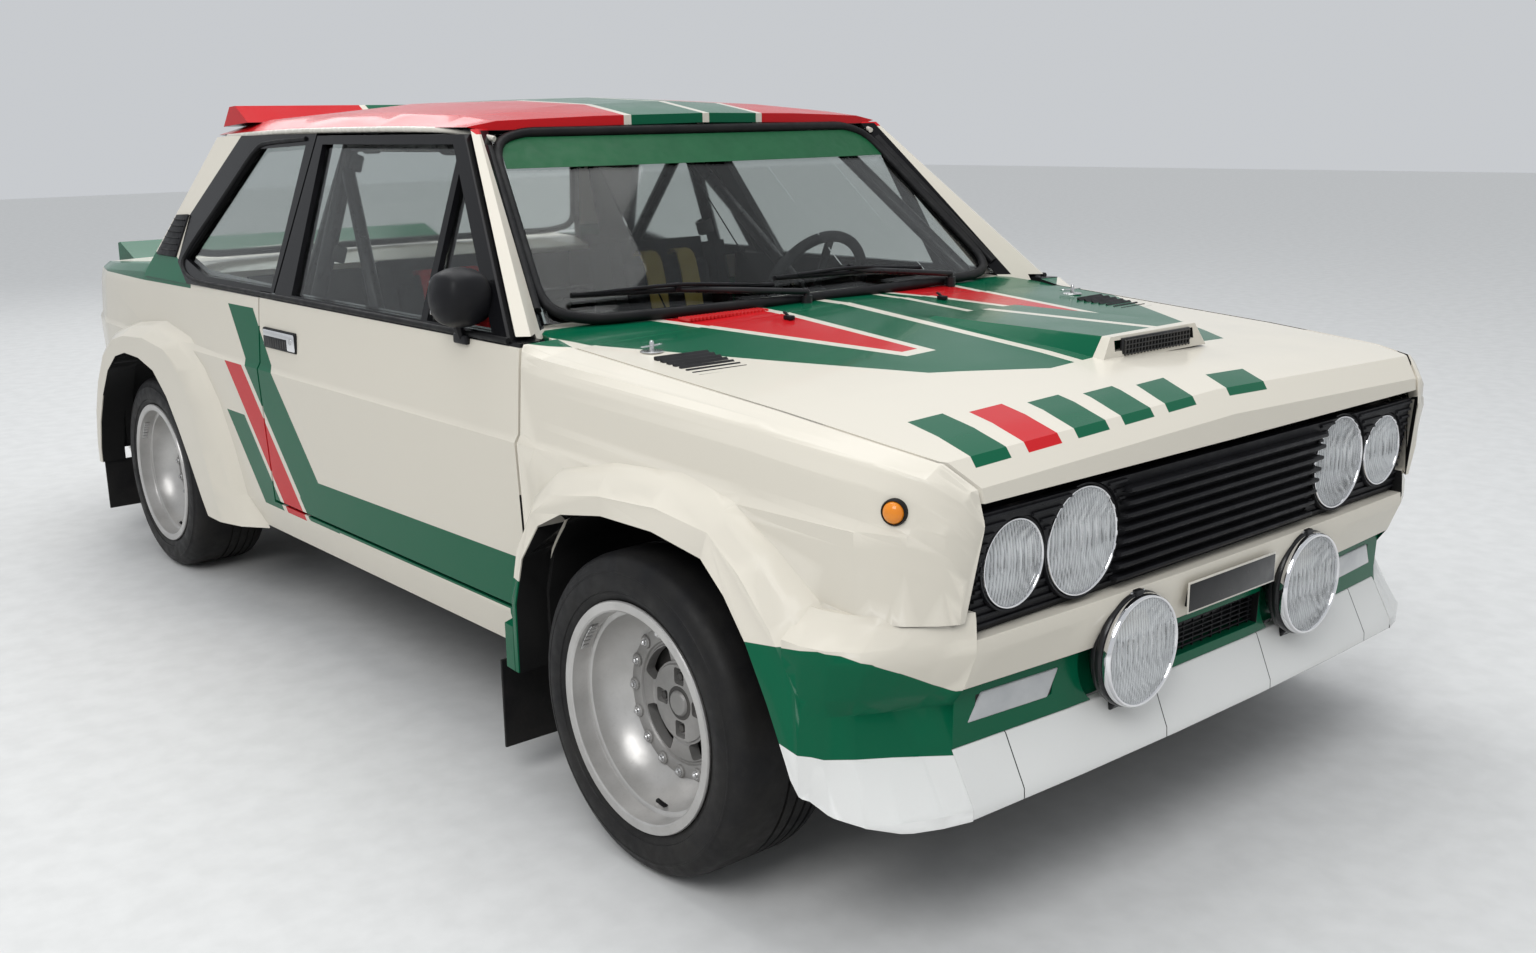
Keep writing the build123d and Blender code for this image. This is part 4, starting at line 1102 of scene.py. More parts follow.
@dataclass
class Wheels:
    """A split rim with a cast centre and its smooth tyre, modelled at the front right and copied to four places."""

    plane: float = 0.866
    rear_plane: float = 0.81
    bolts: int = 16
    bolt_ring: float = 0.129
    nut_ring: float = 0.049
    quarters: tuple[float, ...] = (0, 90, 180, 270)
    weights: tuple[float, ...] = (27, 30.4, 33.8, 37.2, 40.6, 44)
    grooves: tuple[float, ...] = (0.108, 0.134, 0.158, 0.178)

    @property
    def centre(self) -> Vector:
        """Middle of the rim's outer plane."""
        return Vector((-self.plane, FRONT_AXLE, AXLE_Z))

    def at(self, depth: float, radius: float, degrees: float) -> Vector:
        """Place at a depth, a radius and an angle from the rear towards the top."""
        angle = math.radians(degrees)
        return self.centre + Vector((depth, math.cos(angle) * radius, math.sin(angle) * radius))

    def turned(self, finish: Surface, profile: list[Point2], steps: int = 96) -> Piece:
        """A part turned about the wheel's own axis."""
        return Bench.lathe(finish, profile, self.centre, ACROSS, steps)

    def barrel(self) -> Piece:
        """Lip, step, deep bowl and inner half of the rim."""
        profile = [(0.0, 0.2065), (0.0, 0.1915), (0.0025, 0.1885), (0.03, 0.1865), (0.0345, 0.185), (0.0355, 0.179),
                   (0.0375, 0.1765), (0.05, 0.1745), (0.066, 0.169), (0.082, 0.1595), (0.095, 0.148), (0.102, 0.14),
                   (0.1045, 0.136), (0.1055, 0.118), (0.113, 0.118), (0.116, 0.14), (0.13, 0.156),
                   (0.15, 0.168), (0.18, 0.176), (0.2, 0.182), (0.212, 0.19), (0.2155, 0.196), (0.216, 0.206),
                   (0.212, 0.208), (0.207, 0.206), (0.205, 0.198), (0.19, 0.191), (0.11, 0.186), (0.03, 0.193),
                   (0.01, 0.1985), (0.008, 0.206), (0.003, 0.208)]
        return Bench.smooth(self.turned(RIM_GREY, profile), 32)

    def casting(self) -> Piece:
        """Cast centre with four lobed openings and four nut pockets.

        Returns:
            The casting.
        """
        profile = [(0.0975, 0.0), (0.0975, 0.02), (0.0995, 0.0225), (0.103, 0.024), (0.103, 0.07), (0.106, 0.072),
                   (0.1065, 0.076), (0.104, 0.079), (0.104, 0.106), (0.107, 0.109), (0.107, 0.112),
                   (0.1035, 0.114), (0.1015, 0.118), (0.1015, 0.1375), (0.106, 0.1395), (0.129, 0.139),
                   (0.13, 0.13), (0.124, 0.12), (0.124, 0.0)]
        obj = self.turned(CAST_RIM, profile)
        lobe = [self.at(0.095, 0.1045, a) for a in (-27, -20, -10, 0, 10, 20, 27)]
        lobe += [self.at(0.095, 0.076, a) for a in (29, 18, 8, -8, -18, -29)]
        opening = Bench.prism(None, lobe, ACROSS * 0.04, 0.006, 3)
        Bench.cut(obj, Bench.around(opening, self.centre, ACROSS, [angle + 45 for angle in self.quarters]))
        hub = self.at(0.0, self.nut_ring, 0)
        pocket = Bench.block(None, hub + Vector((0.09, -0.0145, -0.0135)), hub + Vector((0.1175, 0.0165, 0.0135)),
                             0.005, 3)
        Bench.cut(obj, Bench.around(pocket, self.centre, ACROSS, self.quarters))
        return Bench.smooth(Bench.bevel(obj, 0.0012, 2, 40), 32)

    def hardware(self) -> list[Piece]:
        """Brake face, ring bolts on their lugs, wheel nuts, valve and balance weights.

        Returns:
            The parts.
        """
        brake = self.turned(DARK_STEEL, [(0.132, 0.0), (0.132, 0.06), (0.134, 0.062), (0.134, 0.118),
                                         (0.136, 0.1205), (0.142, 0.1205), (0.142, 0.0)], 48)
        parts = [Bench.smooth(brake)]
        ring = [360 / self.bolts * n for n in range(self.bolts)]
        for finish, radius, steps, edge, angles, profile in (
            (STEEL, self.bolt_ring, 12, 0, ring,
             [(0.09, 0.0), (0.0905, 0.0035), (0.092, 0.005), (0.0962, 0.0052), (0.0962, 0.0078), (0.098, 0.0082),
              (0.103, 0.0082), (0.103, 0.0)]),
            (CAST_RIM, self.bolt_ring, 16, 0, ring,
             [(0.0972, 0.0), (0.0972, 0.0105), (0.0985, 0.012), (0.104, 0.013), (0.104, 0.0)]),
            (DARK_STEEL, self.nut_ring, 6, 0.0006, self.quarters,
             [(0.104, 0.0), (0.104, 0.006), (0.105, 0.008), (0.115, 0.0085), (0.118, 0.0105), (0.118, 0.0)]),
        ):
            part = Bench.bevel(Bench.lathe(finish, profile, self.at(0, radius, 0), ACROSS, steps), edge)
            parts.append(Bench.around(part, self.centre, ACROSS, angles))
        valve = [self.at(0.034, 0.158, -97), self.at(0.041, 0.166, -97), self.at(0.052, 0.176, -97)]
        half = UP * 0.0048
        weight = Bench.block(STEEL, self.at(0.01, 0.1835, 0) - half, self.at(0.026, 0.1868, 0) + half, 0.0008)
        weights = Bench.around(weight, self.centre, ACROSS, self.weights)
        return [*parts, Bench.tube(BLACK_RUBBER, valve, 0.0042), weights]

    def tyre(self) -> Piece:
        """Rounded shoulders, bead, side rings and a few grooves near the inner shoulder.

        Returns:
            The tyre.
        """
        profile = [(0.019, 0.1935), (0.011, 0.201), (0.0085, 0.207), (0.0055, 0.21), (0.004, 0.215),
                   (0.0012, 0.22), (0.0012, 0.2235), (-0.001, 0.225), (-0.0026, 0.233), (-0.003, 0.241),
                   (-0.0022, 0.25), (-0.0005, 0.257), (-0.0012, 0.258), (-0.0006, 0.2605), (0.001, 0.2615),
                   (0.004, 0.27), (0.0085, 0.2775), (0.015, 0.283), (0.023, 0.2868), (0.035, 0.2892),
                   (0.06, 0.29)]
        for groove in self.grooves:
            profile += [(groove - 0.0032, 0.29), (groove - 0.0026, 0.286), (groove + 0.0026, 0.286),
                        (groove + 0.0032, 0.29)]
        profile += [(0.189, 0.289), (0.201, 0.285), (0.211, 0.276), (0.2165, 0.262), (0.218, 0.242),
                    (0.216, 0.225), (0.211, 0.212), (0.204, 0.206), (0.203, 0.196)]
        return Bench.smooth(self.turned(TYRE_RUBBER, profile, 112))

    def build(self) -> None:
        """Make the rim and the tyre, and copy them in place of the four wheels' nodes."""
        rim, tyre = Bench.join([self.barrel(), self.casting(), *self.hardware()]), self.tyre()
        for tag, side, axle, plane in (("fr", Side.RIGHT, FRONT_AXLE, self.plane),
                                       ("fl", Side.LEFT, FRONT_AXLE, self.plane),
                                       ("rr", Side.RIGHT, REAR_AXLE, self.rear_plane),
                                       ("rl", Side.LEFT, REAR_AXLE, self.rear_plane)):
            turn = Matrix.Scale(-side.value, 4, ACROSS) @ Matrix.Translation(-self.centre)
            move = Matrix.Translation((side.value * plane, axle, AXLE_Z)) @ turn
            Bench.mount([Bench.copy(rim, move)], f"rim_{tag}_assembled", f"wheel_{tag}", angle=0, node=f"rim_{tag}")
            Bench.mount([Bench.copy(tyre, move)], f"tyre_{tag}_smooth", f"wheel_{tag}", angle=0, node=f"tyre_{tag}")
        for part in (rim, tyre):
            bpy.data.objects.remove(part, do_unlink=True)


@dataclass
class Lamps:
    """Four headlamps in the nose and two driving lamps on the bumper."""

    heads: tuple[tuple[Point3, float], ...] = (((0.562, -1.98, 0.635), 0.07), ((0.394, -1.98, 0.637), 0.089))
    driving: Point3 = (0.266, -2.016, 0.43)
    driving_radius: float = 0.097
    flute: float = 0.0066
    flute_depth: float = 0.0011
    ahead: Point3 = (0, -1, 0)

    def glass(self, centre: Point3, radius: float, dome: float) -> Piece:
        """A domed lens with upright flutes in three zones.

        Args:
            centre: Middle of the lens.
            radius: Its radius.
            dome: How far its middle stands out.

        Returns:
            The lens.
        """
        flutes = round(radius * 2 / self.flute)
        obj = Bench.grid(flutes * 4, 20)
        for vertex in obj.data.vertices:
            across, level = vertex.co.x * 0.992, vertex.co.y
            height = level * math.sqrt(1 - across * across)
            middle = -0.15 < height < 0.38
            phase = (vertex.co.x + 1) / 2 * flutes * (0.5 if middle else 1.0)
            out = 0.004 + dome * (1 - across * across - height * height)
            out += self.flute_depth * (1.5 if middle else 1.0) * math.sin(math.pi * phase) ** 2
            vertex.co = (centre[0] + across * radius, centre[1] - out, centre[2] + height * radius)
        Bench.apply(obj, "SOLIDIFY", thickness=0.0018, offset=-1.0)
        return Bench.smooth(Bench.dress(obj, LAMP_GLASS), 50)

    def bowl(self, centre: Point3, r: float, depth: float) -> Piece:
        """A polished reflector with a bulb shield.

        Args:
            centre: Middle of its rim.
            r: Its radius.
            depth: Its depth.

        Returns:
            The reflector.
        """
        profile = [(-0.0005, r - 0.004), (-0.0005, r - 0.007), (-depth * 0.3, r * 0.8), (-depth * 0.62, r * 0.55),
                   (-depth * 0.85, r * 0.32), (-depth * 0.96, r * 0.16), (-depth, 0.0), (-depth - 0.0015, 0.0),
                   (-depth - 0.001, r * 0.2), (-depth * 0.62, r * 0.6), (-depth * 0.3, r * 0.86)]
        bowl = Bench.lathe(LAMP_METAL, profile, centre, self.ahead)
        profile = [(-depth, 0.0), (-depth, 0.006), (-depth * 0.62, 0.0065), (-depth * 0.6, 0.013),
                   (-depth * 0.4, 0.0135), (-depth * 0.3, 0.011), (-depth * 0.26, 0.0)]
        return Bench.smooth(Bench.join([bowl, Bench.lathe(LAMP_METAL, profile, centre, self.ahead, 32)]))

    def ring(self, finish: Finish, centre: Point3, r: float, *profile: Point2) -> Piece:
        """A turned ring.

        Args:
            finish: Its finish.
            centre: Middle of the lamp.
            r: The lamp's radius.
            profile: Pairs of distance ahead and distance outside that radius.

        Returns:
            The ring.
        """
        points = [(ahead, r + out) for ahead, out in profile]
        return Bench.smooth(Bench.lathe(finish, points, centre, self.ahead, 72))

    def driving_lamp(self) -> list[Piece]:
        """Shell, rings, clamp, reflector and stay of one driving lamp.

        Returns:
            The parts.
        """
        spot, r = self.driving, self.driving_radius
        x, y, z = spot
        rings = [
            self.ring(BLACK_PAINT, spot, r, (-0.006, -0.01), (-0.02, -0.004), (-0.034, -0.008), (-0.048, -0.022),
                      (-0.06, -0.04), (-0.065, -r), (-0.06, -r), (-0.056, -0.046), (-0.044, -0.03),
                      (-0.03, -0.016)),
            self.ring(CHROME, spot, r, (-0.006, -0.008), (0.004, -0.008), (0.0072, -0.006), (0.0078, -0.003),
                      (0.005, -0.0005), (-0.003, 0.0005), (-0.0075, -0.001)),
            self.ring(BLACK_PAINT, spot, r, (-0.008, -0.008), (-0.008, 0.001), (-0.0105, 0.0025),
                      (-0.0165, 0.0025), (-0.019, 0.001), (-0.019, -0.008)),
            self.ring(BLACK_PAINT, spot, r, (-0.023, -0.006), (-0.0215, -0.0015), (-0.025, -0.0005),
                      (-0.029, -0.0015), (-0.031, -0.007)),
        ]
        lug = Bench.block(BLACK_PAINT, (x - 0.01, y + 0.006, z + r - 0.004), (x + 0.01, y + 0.02, z + r + 0.006),
                          0.002)
        screw = Bench.lathe(STEEL, [(0, 0), (0, 0.0028), (0.034, 0.0028), (0.036, 0.0015), (0.036, 0)],
                            (x - 0.018, y + 0.013, z + r + 0.001), ACROSS, 12)
        stay = Bench.prism(BLACK_PAINT, [(x - 0.02, y + 0.02, z - r + 0.012), (x + 0.02, y + 0.02, z - r + 0.012),
                                         (x + 0.03, y + 0.034, z - r - 0.012), (x - 0.03, y + 0.034, z - r - 0.012)],
                           (0, 0.03, 0), 0.003)
        return [*rings, self.bowl(spot, r - 0.006, 0.04), lug, screw, stay]

    def build(self) -> None:
        """Make all six lamps in place of their nodes."""
        lenses, bowls, rings = [], [], []
        for centre, r in self.heads:
            lenses.append(self.glass(centre, r - 0.001, 0.01))
            bowls.append(self.bowl(centre, r, 0.033))
            rings += [self.ring(CHROME, centre, r, (-0.004, -0.004), (0.0062, -0.004), (0.008, -0.0025),
                                (0.0078, -0.0005), (0.004, 0.001), (-0.004, 0.001)),
                      self.ring(BLACK_PLASTIC, centre, r, (-0.034, 0.005), (0.002, 0.0058), (0.006, 0.005),
                                (0.005, 0.0016), (-0.004, 0.0012), (-0.034, 0.0012))]
        lenses.append(self.glass(self.driving, self.driving_radius - 0.004, 0.006))
        for parts, name, node in (
            (lenses, "lamp_lenses_ribbed", "lamp_lenses"),
            (bowls, "lamp_reflectors", "lamp_bowls"),
            (rings, "headlamp_rings", ""),
            (self.driving_lamp(), "driving_lamp_shells", "lamp_shells"),
        ):
            Bench.mount(parts, name, "body", angle=0, mirrored=True, node=node)


@dataclass
class Nose:
    """Grille slats, bumper indicators, plate and intake."""

    top: Point2 = (-1.996, 0.729)
    low: Point2 = (-1.97, 0.536)
    half: float = 0.646
    centre_half: float = 0.296
    pitch: float = 0.0146
    deep_pitch: float = 0.022
    deep_slats: int = 8
    mesh_bars: tuple[int, int] = (7, 11)
    mesh_pitch: Point2 = (0.009, 0.0298)
    holes: tuple[Point3, ...] = ((0.562, 0.635, 0.078), (0.394, 0.637, 0.097))

    def face(self, z: float) -> float:
        """Y of the grille's sloping front at a height."""
        share = (z - self.low[1]) / (self.top[1] - self.low[1])
        return self.low[0] + (self.top[0] - self.low[0]) * share

    def spans(self, z: float) -> list[Point2]:
        """Stretches of X on the car's left that are clear of the lamps.

        Args:
            z: The height.

        Returns:
            Both ends of each stretch.
        """
        left = [(self.centre_half + 0.004, self.half)]
        for x, middle, radius in self.holes:
            gap = radius * radius - (z - middle) ** 2
            if gap > 0:
                reach = math.sqrt(gap)
                cut = [end for a, b in left for end in ((a, min(b, x - reach)), (max(a, x + reach), b))]
                left = [(a, b) for a, b in cut if b - a > 0.006]
        return left

    def slats(self) -> None:
        """Fine slats beside the lamps, and deep ones between them."""
        parts = []
        z = self.low[1] + 0.01
        while z < self.top[1] - 0.006:
            y = self.face(z)
            for a, b in self.spans(z):
                outline = [(a, y + 0.002, z + 0.0042), (a, y - 0.0045, z + 0.0032), (a, y - 0.005, z - 0.001),
                           (a, y + 0.002, z - 0.0042)]
                parts.append(Bench.prism(BLACK_PLASTIC, outline, (b - a, 0, 0), 0.0004, 1))
            z += self.pitch
        Bench.mount(parts, "grille_fine_slats", "body", mirrored=True)
        end = self.centre_half + 0.008
        parts = []
        for n in range(self.deep_slats):
            z = self.low[1] + 0.012 + n * self.deep_pitch
            y = self.face(z)
            outline = [(-end, y - 0.0165, z + 0.0012), (-end, y - 0.019, z + 0.0042), (-end, y - 0.018, z + 0.0088),
                       (-end, y + 0.004, z + 0.0096), (-end, y + 0.004, z - 0.0008)]
            parts.append(Bench.prism(BLACK_PLASTIC, outline, (end * 2, 0, 0), 0.0007))
        Bench.mount(parts, "grille_deep_slats", "body")
        Panel("grille", "body", BLACK_PLASTIC, 0.0008).build()

    def front(self, x: float, z: float) -> float:
        """Y of the valance's curved front."""
        return -1.952 - 0.028 * (1 - (x / 0.65) ** 2) + 0.005 * (0.45 - z) / 0.104

    def indicators(self) -> None:
        """White indicator lenses in black frames."""
        for name, finish, grow, lift in (("indicator_frames", BLACK_RUBBER, 0.0, 0.0),
                                         ("indicator_lenses", MILK_LENS, -0.006, 0.003)):
            corners = ((0.436 - grow, 0.374 - grow), (0.626 + grow, 0.376 - grow), (0.6 + grow, 0.434 + grow),
                       (0.414 - grow, 0.433 + grow))
            outline = [(x, self.front(x, z) + 0.001 - lift, z) for x, z in corners]
            Bench.mount([Bench.prism(finish, outline, (0, 0.01, 0), 0.003, 3)], name, "body", mirrored=True)

    def build(self) -> None:
        """Make the slats, the indicators, the blank plate and the mesh behind the valance's opening."""
        self.slats()
        self.indicators()
        Bench.mount([
            Bench.block(PALE_PAINT, (-0.137, -2.017, 0.462), (0.137, -2.0145, 0.518)),
            Bench.block(PLATE_BLACK, (-0.1335, -2.018, 0.4655), (0.1335, -2.016, 0.5145), 0.0006),
            Bench.block(BLACK_PAINT, (-0.12, -2.0146, 0.468), (0.12, -1.99, 0.5), 0.002),
        ], "front_blank_plate", "body")
        (level, upright), (rise, step) = self.mesh_bars, self.mesh_pitch
        spots = [((-0.158, -1.964, 0.372 + rise * n), (0.316, 0.004, 0.0028)) for n in range(level)]
        spots += [((-0.15 + step * n, -1.9625, 0.366), (0.0028, 0.004, 0.062)) for n in range(upright)]
        bars = [Bench.block(BLACK_PLASTIC, low, Vector(low) + Vector(size), 0.0006, 1) for low, size in spots]
        Bench.mount(bars, "intake_mesh", "body")


@dataclass
class WindowTrim:
    """Rubber seals, sun strip, drip rails, pillar louvres and mirror glass."""

    seal: float = 0.0115
    belt: tuple[float, ...] = (-0.955, -0.6, -0.2, 0.2)
    quarter: tuple[Point2, ...] = ((0.19, 0.893), (0.45, 0.893), (0.7, 0.893), (0.8, 0.925), (0.8, 0.96),
                                   (0.66, 1.12), (0.56, 1.245), (0.5, 1.258), (0.262, 1.266))
    rail: tuple[Point3, ...] = ((-0.566, -0.555, 1.262), (-0.604, -0.47, 1.2795), (-0.617, -0.3, 1.2855),
                                (-0.618, 0.1, 1.2865), (-0.616, 0.5, 1.284), (-0.612, 0.8, 1.274))
    louvres: int = 6
    louvre_pitch: float = 0.0165
    mirror_at: Point3 = (-0.8095, -0.799, 0.9645)
    mirror_size: Point3 = (0.094, 0.108, 0.096)

    def screens(self) -> None:
        """Seals around both screens and the green strip across the windscreen."""
        for name, screen in (("windscreen_seal", WINDSCREEN), ("rear_screen_seal", REAR_SCREEN)):
            parts = [Bench.tube(BLACK_RUBBER, screen.edge(0.004), self.seal, cyclic=True)]
            for u in (-1.028, 1.028):
                line = [screen.point(u, v, 0.01) for v in (0.05, 0.3, 0.6, 0.9)]
                parts.append(Bench.tube(BLACK_RUBBER, line, self.seal))
            Bench.mount(parts, name, "body", angle=60)
        strip = Bench.grid(28, 3)
        for vertex in strip.data.vertices:
            vertex.co = WINDSCREEN.point(vertex.co.x * 0.975, 0.8875 + vertex.co.y * 0.0875, 0.0022)
        Bench.apply(strip, "SOLIDIFY", thickness=0.0006, offset=1.0)
        Bench.mount([Bench.dress(strip, GREEN_FILM)], "sun_strip", "body")

    def sides(self) -> None:
        """Belt seals, quarter seals and drip rails."""
        for name, body, finish, radius, line in (
            ("belt_seal_{}", "door_{}", BLACK_RUBBER, 0.0065, [wall(y, 0.893, 0.002) for y in self.belt]),
            ("quarter_seal_{}", "body", BLACK_RUBBER, 0.006, [wall(y, z, 0.001) for y, z in self.quarter]),
            ("drip_rail_{}", "body", PALE_PAINT, 0.0065, self.rail),
        ):
            Bench.pair([Bench.tube(finish, line, radius)], name, body, angle=60)

    def louvre(self) -> None:
        """Black extractor louvres at the feet of the rear pillars."""
        corners = ((0.868, 1.06), (0.955, 1.056), (1.01, 0.945), (0.858, 0.945))
        parts = [Bench.prism(BLACK_PLASTIC, [wall(y, z, -0.001) for y, z in corners], (-0.006, 0, 0.0028), 0.0015)]
        for n in range(self.louvres):
            z = 0.96 + self.louvre_pitch * n
            share = (z - 0.945) / 0.115
            front, back = 0.866 + 0.006 * share, 1.0 - 0.055 * share
            outline = [wall(front, z, 0.003), wall(back, z, 0.003), wall(back, z + 0.003, 0.0095),
                       wall(front, z + 0.003, 0.0095)]
            parts.append(Bench.prism(BLACK_PLASTIC, outline, (0, 0, 0.0035), 0.0006, 1))
        Bench.pair(parts, "pillar_louvre_{}", "body")

    def mirror(self) -> None:
        """Rounded mirror case on its foot, and its glass."""
        Bench.clear()
        bpy.ops.mesh.primitive_cube_add(size=1, location=self.mirror_at)
        case = bpy.context.object
        case.scale = self.mirror_size
        Bench.settle(case)
        with Bench.editing(case):
            bpy.ops.mesh.subdivide(number_cuts=5)
            bpy.ops.transform.tosphere(value=0.78)
            bpy.ops.mesh.select_all(action="SELECT")
            bpy.ops.mesh.bisect(plane_co=(-0.81, -0.7495, 0.96), plane_no=(0, 1, 0), use_fill=True, clear_outer=True)
        Bench.apply(Bench.outward(case), "SUBSURF", levels=1, render_levels=1)
        foot = Bench.tube(BLACK_PLASTIC, [(-0.822, -0.8, 0.93), (-0.816, -0.796, 0.908), (-0.805, -0.79, 0.886)],
                          0.01)
        base = Bench.block(BLACK_PLASTIC, (-0.812, -0.815, 0.872), (-0.8, -0.765, 0.892), 0.004, 3)
        corners = ((-0.848, 0.93), (-0.782, 0.93), (-0.776, 0.96), (-0.78, 0.996), (-0.846, 0.996))
        glass = Bench.prism(MIRROR_METAL, [(x, -0.748, z) for x, z in corners], (0, 0.002, 0), 0.0008)
        Bench.mount([Bench.dress(case, BLACK_PLASTIC), foot, base, glass], "door_mirror", "door_r",
                    node="mirror_right")

    def build(self) -> None:
        """Make the window trim of the whole car."""
        self.screens()
        self.sides()
        self.louvre()
        self.mirror()


@dataclass
class BodyTrim:
    """Handles, side lamps, bonnet fittings, wiper blades and rear fittings."""

    handle_low: Point2 = (0.002, 0.768)
    handle_high: Point2 = (0.187, 0.813)
    side_lamp: Point3 = (-0.7615, -1.9285, 0.74)
    side_lamp_axis: Point3 = (-0.93, -0.37, 0.03)
    pin: Point3 = (-0.625, -1.174, 0.877)
    wipers: tuple[tuple[Point3, Point3, Point3], ...] = (
        ((-0.12, -0.942, 0.943), (-0.6, -0.8755, 0.957), (-0.36, -0.91, 0.956)),
        ((0.37, -0.919, 0.943), (-0.11, -0.9365, 0.957), (0.13, -0.927, 0.96)))
    tail_start: float = 0.362
    tail_segments: tuple[tuple[float, float, Finish], ...] = (
        (0.0, 0.22, MILK_LENS), (0.22, 0.66, RED_GLASS), (0.66, 1.0, AMBER_GLASS))
    pipe_end: Point3 = (0.26, 2.01, 0.25)
    grip_ribs: int = 9
    vent_slots: int = 10
    vent_pitch: float = 0.0195
    mesh_bars: int = 21
    air_slots: int = 22
    air_pitch: float = 0.01

    def handle(self) -> None:
        """Bright door handles with a dark recess, a ribbed grip and a lock."""
        (y0, z0), (y1, z1) = self.handle_low, self.handle_high
        parts = [
            Bench.block(BLACK_RUBBER, (-0.803, y0 - 0.003, z0 - 0.003), (-0.814, y1 + 0.003, z1 + 0.003), 0.006, 3),
            Bench.block(CHROME, (-0.804, y0, z0), (-0.8152, y1, z1), 0.005, 3),
            Bench.block(BLACK_PLASTIC, (-0.805, y0 + 0.042, z0 + 0.001), (-0.8158, y1 - 0.005, z0 + 0.029), 0.002),
            *(Bench.block(DARK_STEEL, (-0.808, y0 + 0.048 + 0.014 * n, z0 + 0.004),
                          (-0.8163, y0 + 0.053 + 0.014 * n, z0 + 0.025), 0.001, 1) for n in range(self.grip_ribs)),
            Bench.lathe(STEEL, [(0.806, 0), (0.806, 0.008), (0.816, 0.008), (0.8172, 0.0068), (0.8165, 0.0)],
                        (0, y0 + 0.022, z0 + 0.026), -ACROSS, 24),
        ]
        Bench.pair(parts, "door_handle_{}", "door_{}")

    def side_lamps(self) -> None:
        """Round amber lamps on the front corners of the wings."""
        parts = [Bench.lathe(finish, profile, self.side_lamp, self.side_lamp_axis, 32) for finish, profile in (
            (AMBER_GLASS, [(-0.004, 0), (-0.004, 0.0165), (0.004, 0.0165), (0.009, 0.0135), (0.012, 0.007),
                           (0.013, 0)]),
            (BLACK_RUBBER, [(-0.012, 0.0165), (0.004, 0.0168), (0.005, 0.018), (0.002, 0.02), (-0.012, 0.0205)]),
        )]
        Bench.mount(parts, "side_lamps", "body", mirrored=True)

    def pins(self) -> None:
        """Bonnet pins on their plates with a clip, and washer jets."""
        x, y, z = self.pin
        clip = ((-0.024, -0.004, 0.011), (0.012, -0.002, 0.011), (0.028, 0.004, 0.011), (0.03, 0.014, 0.01),
                (0.014, 0.016, 0.0085), (-0.02, 0.005, 0.01))
        Bench.mount([
            Bench.lathe(STEEL, [(0, 0), (0, 0.021), (0.0015, 0.0225), (0.003, 0.021), (0.0035, 0.008), (0.0035, 0)],
                        (x, y, z - 0.001), UP, 32),
            Bench.lathe(STEEL, [(0, 0), (0, 0.0045), (0.018, 0.0045), (0.021, 0.003), (0.022, 0)], self.pin, UP, 20),
            Bench.tube(STEEL, [(x + dx, y + dy, z + dz) for dx, dy, dz in clip], 0.0015),
        ], "bonnet_pins", "front_lid", mirrored=True)
        base = Bench.block(BLACK_PLASTIC, (-0.238, -1.128, 0.893), (-0.224, -1.106, 0.902), 0.002)
        tip = Bench.tube(BLACK_PLASTIC, [(-0.231, -1.114, 0.9), (-0.231, -1.108, 0.906), (-0.231, -1.101, 0.907)],
                         0.003)
        Bench.mount([base, tip], "washer_jets", "front_lid", mirrored=True)

    def vents(self) -> None:
        """Rows of raised slots in the bonnet beside the bulge."""
        slots = []
        for n in range(self.vent_slots):
            share = n / (self.vent_slots - 1)
            y, z = -1.235 - self.vent_pitch * n, 0.8735 - 0.0215 * share ** 1.1
            left, right = -0.662 - 0.0008 * n, -0.55 - 0.0009 * n
            outline = [(left, y - 0.006, z - 0.003), (left, y + 0.005, z + 0.0052), (left, y + 0.007, z + 0.003),
                       (left, y + 0.006, z - 0.003)]
            slots.append(Bench.prism(BLACK_PLASTIC, outline, (right - left, -0.016, 0.002), 0.0008, 1))
        Bench.mount(slots, "bonnet_vents", "front_lid", mirrored=True)

    def bulge_mesh(self) -> None:
        """Dark mesh in the front of the bonnet's raised panel."""
        frame_part = Bench.block(BLACK_PAINT, (0.03, -1.7435, 0.853), (0.246, -1.7375, 0.889), 0.0015)
        bars = [((0.036 + 0.0102 * n, -1.7465, 0.856), (0.0385 + 0.0102 * n, -1.743, 0.886))
                for n in range(self.mesh_bars)]
        bars += [((0.034, -1.747, 0.858 + 0.0085 * n), (0.243, -1.744, 0.86 + 0.0085 * n)) for n in range(4)]
        parts = [Bench.block(DARK_STEEL, low, high, 0.0005, 1) for low, high in bars]
        Bench.mount([frame_part, *parts], "bulge_intake_mesh", "front_lid")

    def wiper_blades(self) -> None:
        """Bows and rubbers of the wiper blades, along the node's bars."""
        lift = Vector((0, -0.006, 0.008))
        parts = []
        for start, end, pivot in self.wipers:
            spots = [Vector(start).lerp(Vector(end), share) for share in (0.0, 0.14, 0.32, 0.5, 0.68, 0.86, 1.0)]
            bow = [spot + lift * rise for spot, rise in zip(spots[1:6], (0.4, 1.0, 1.5, 1.0, 0.4))]
            claws = [[spots[n], spots[n + 1] + lift * 0.8, spots[n + 2]] for n in (0, 4)]
            for line, radius in ((bow, 0.0042), (claws[0], 0.003), (claws[1], 0.003),
                                 ([start, spots[3], end], 0.0052)):
                parts.append(Bench.tube(BLACK_PLASTIC, line, radius))
            parts.append(Bench.lathe(BLACK_PLASTIC, [(-0.006, 0), (-0.006, 0.009), (0.006, 0.009), (0.006, 0)], pivot,
                                     ACROSS, 16))
        Bench.mount(parts, "wiper_blades", "body", angle=60)

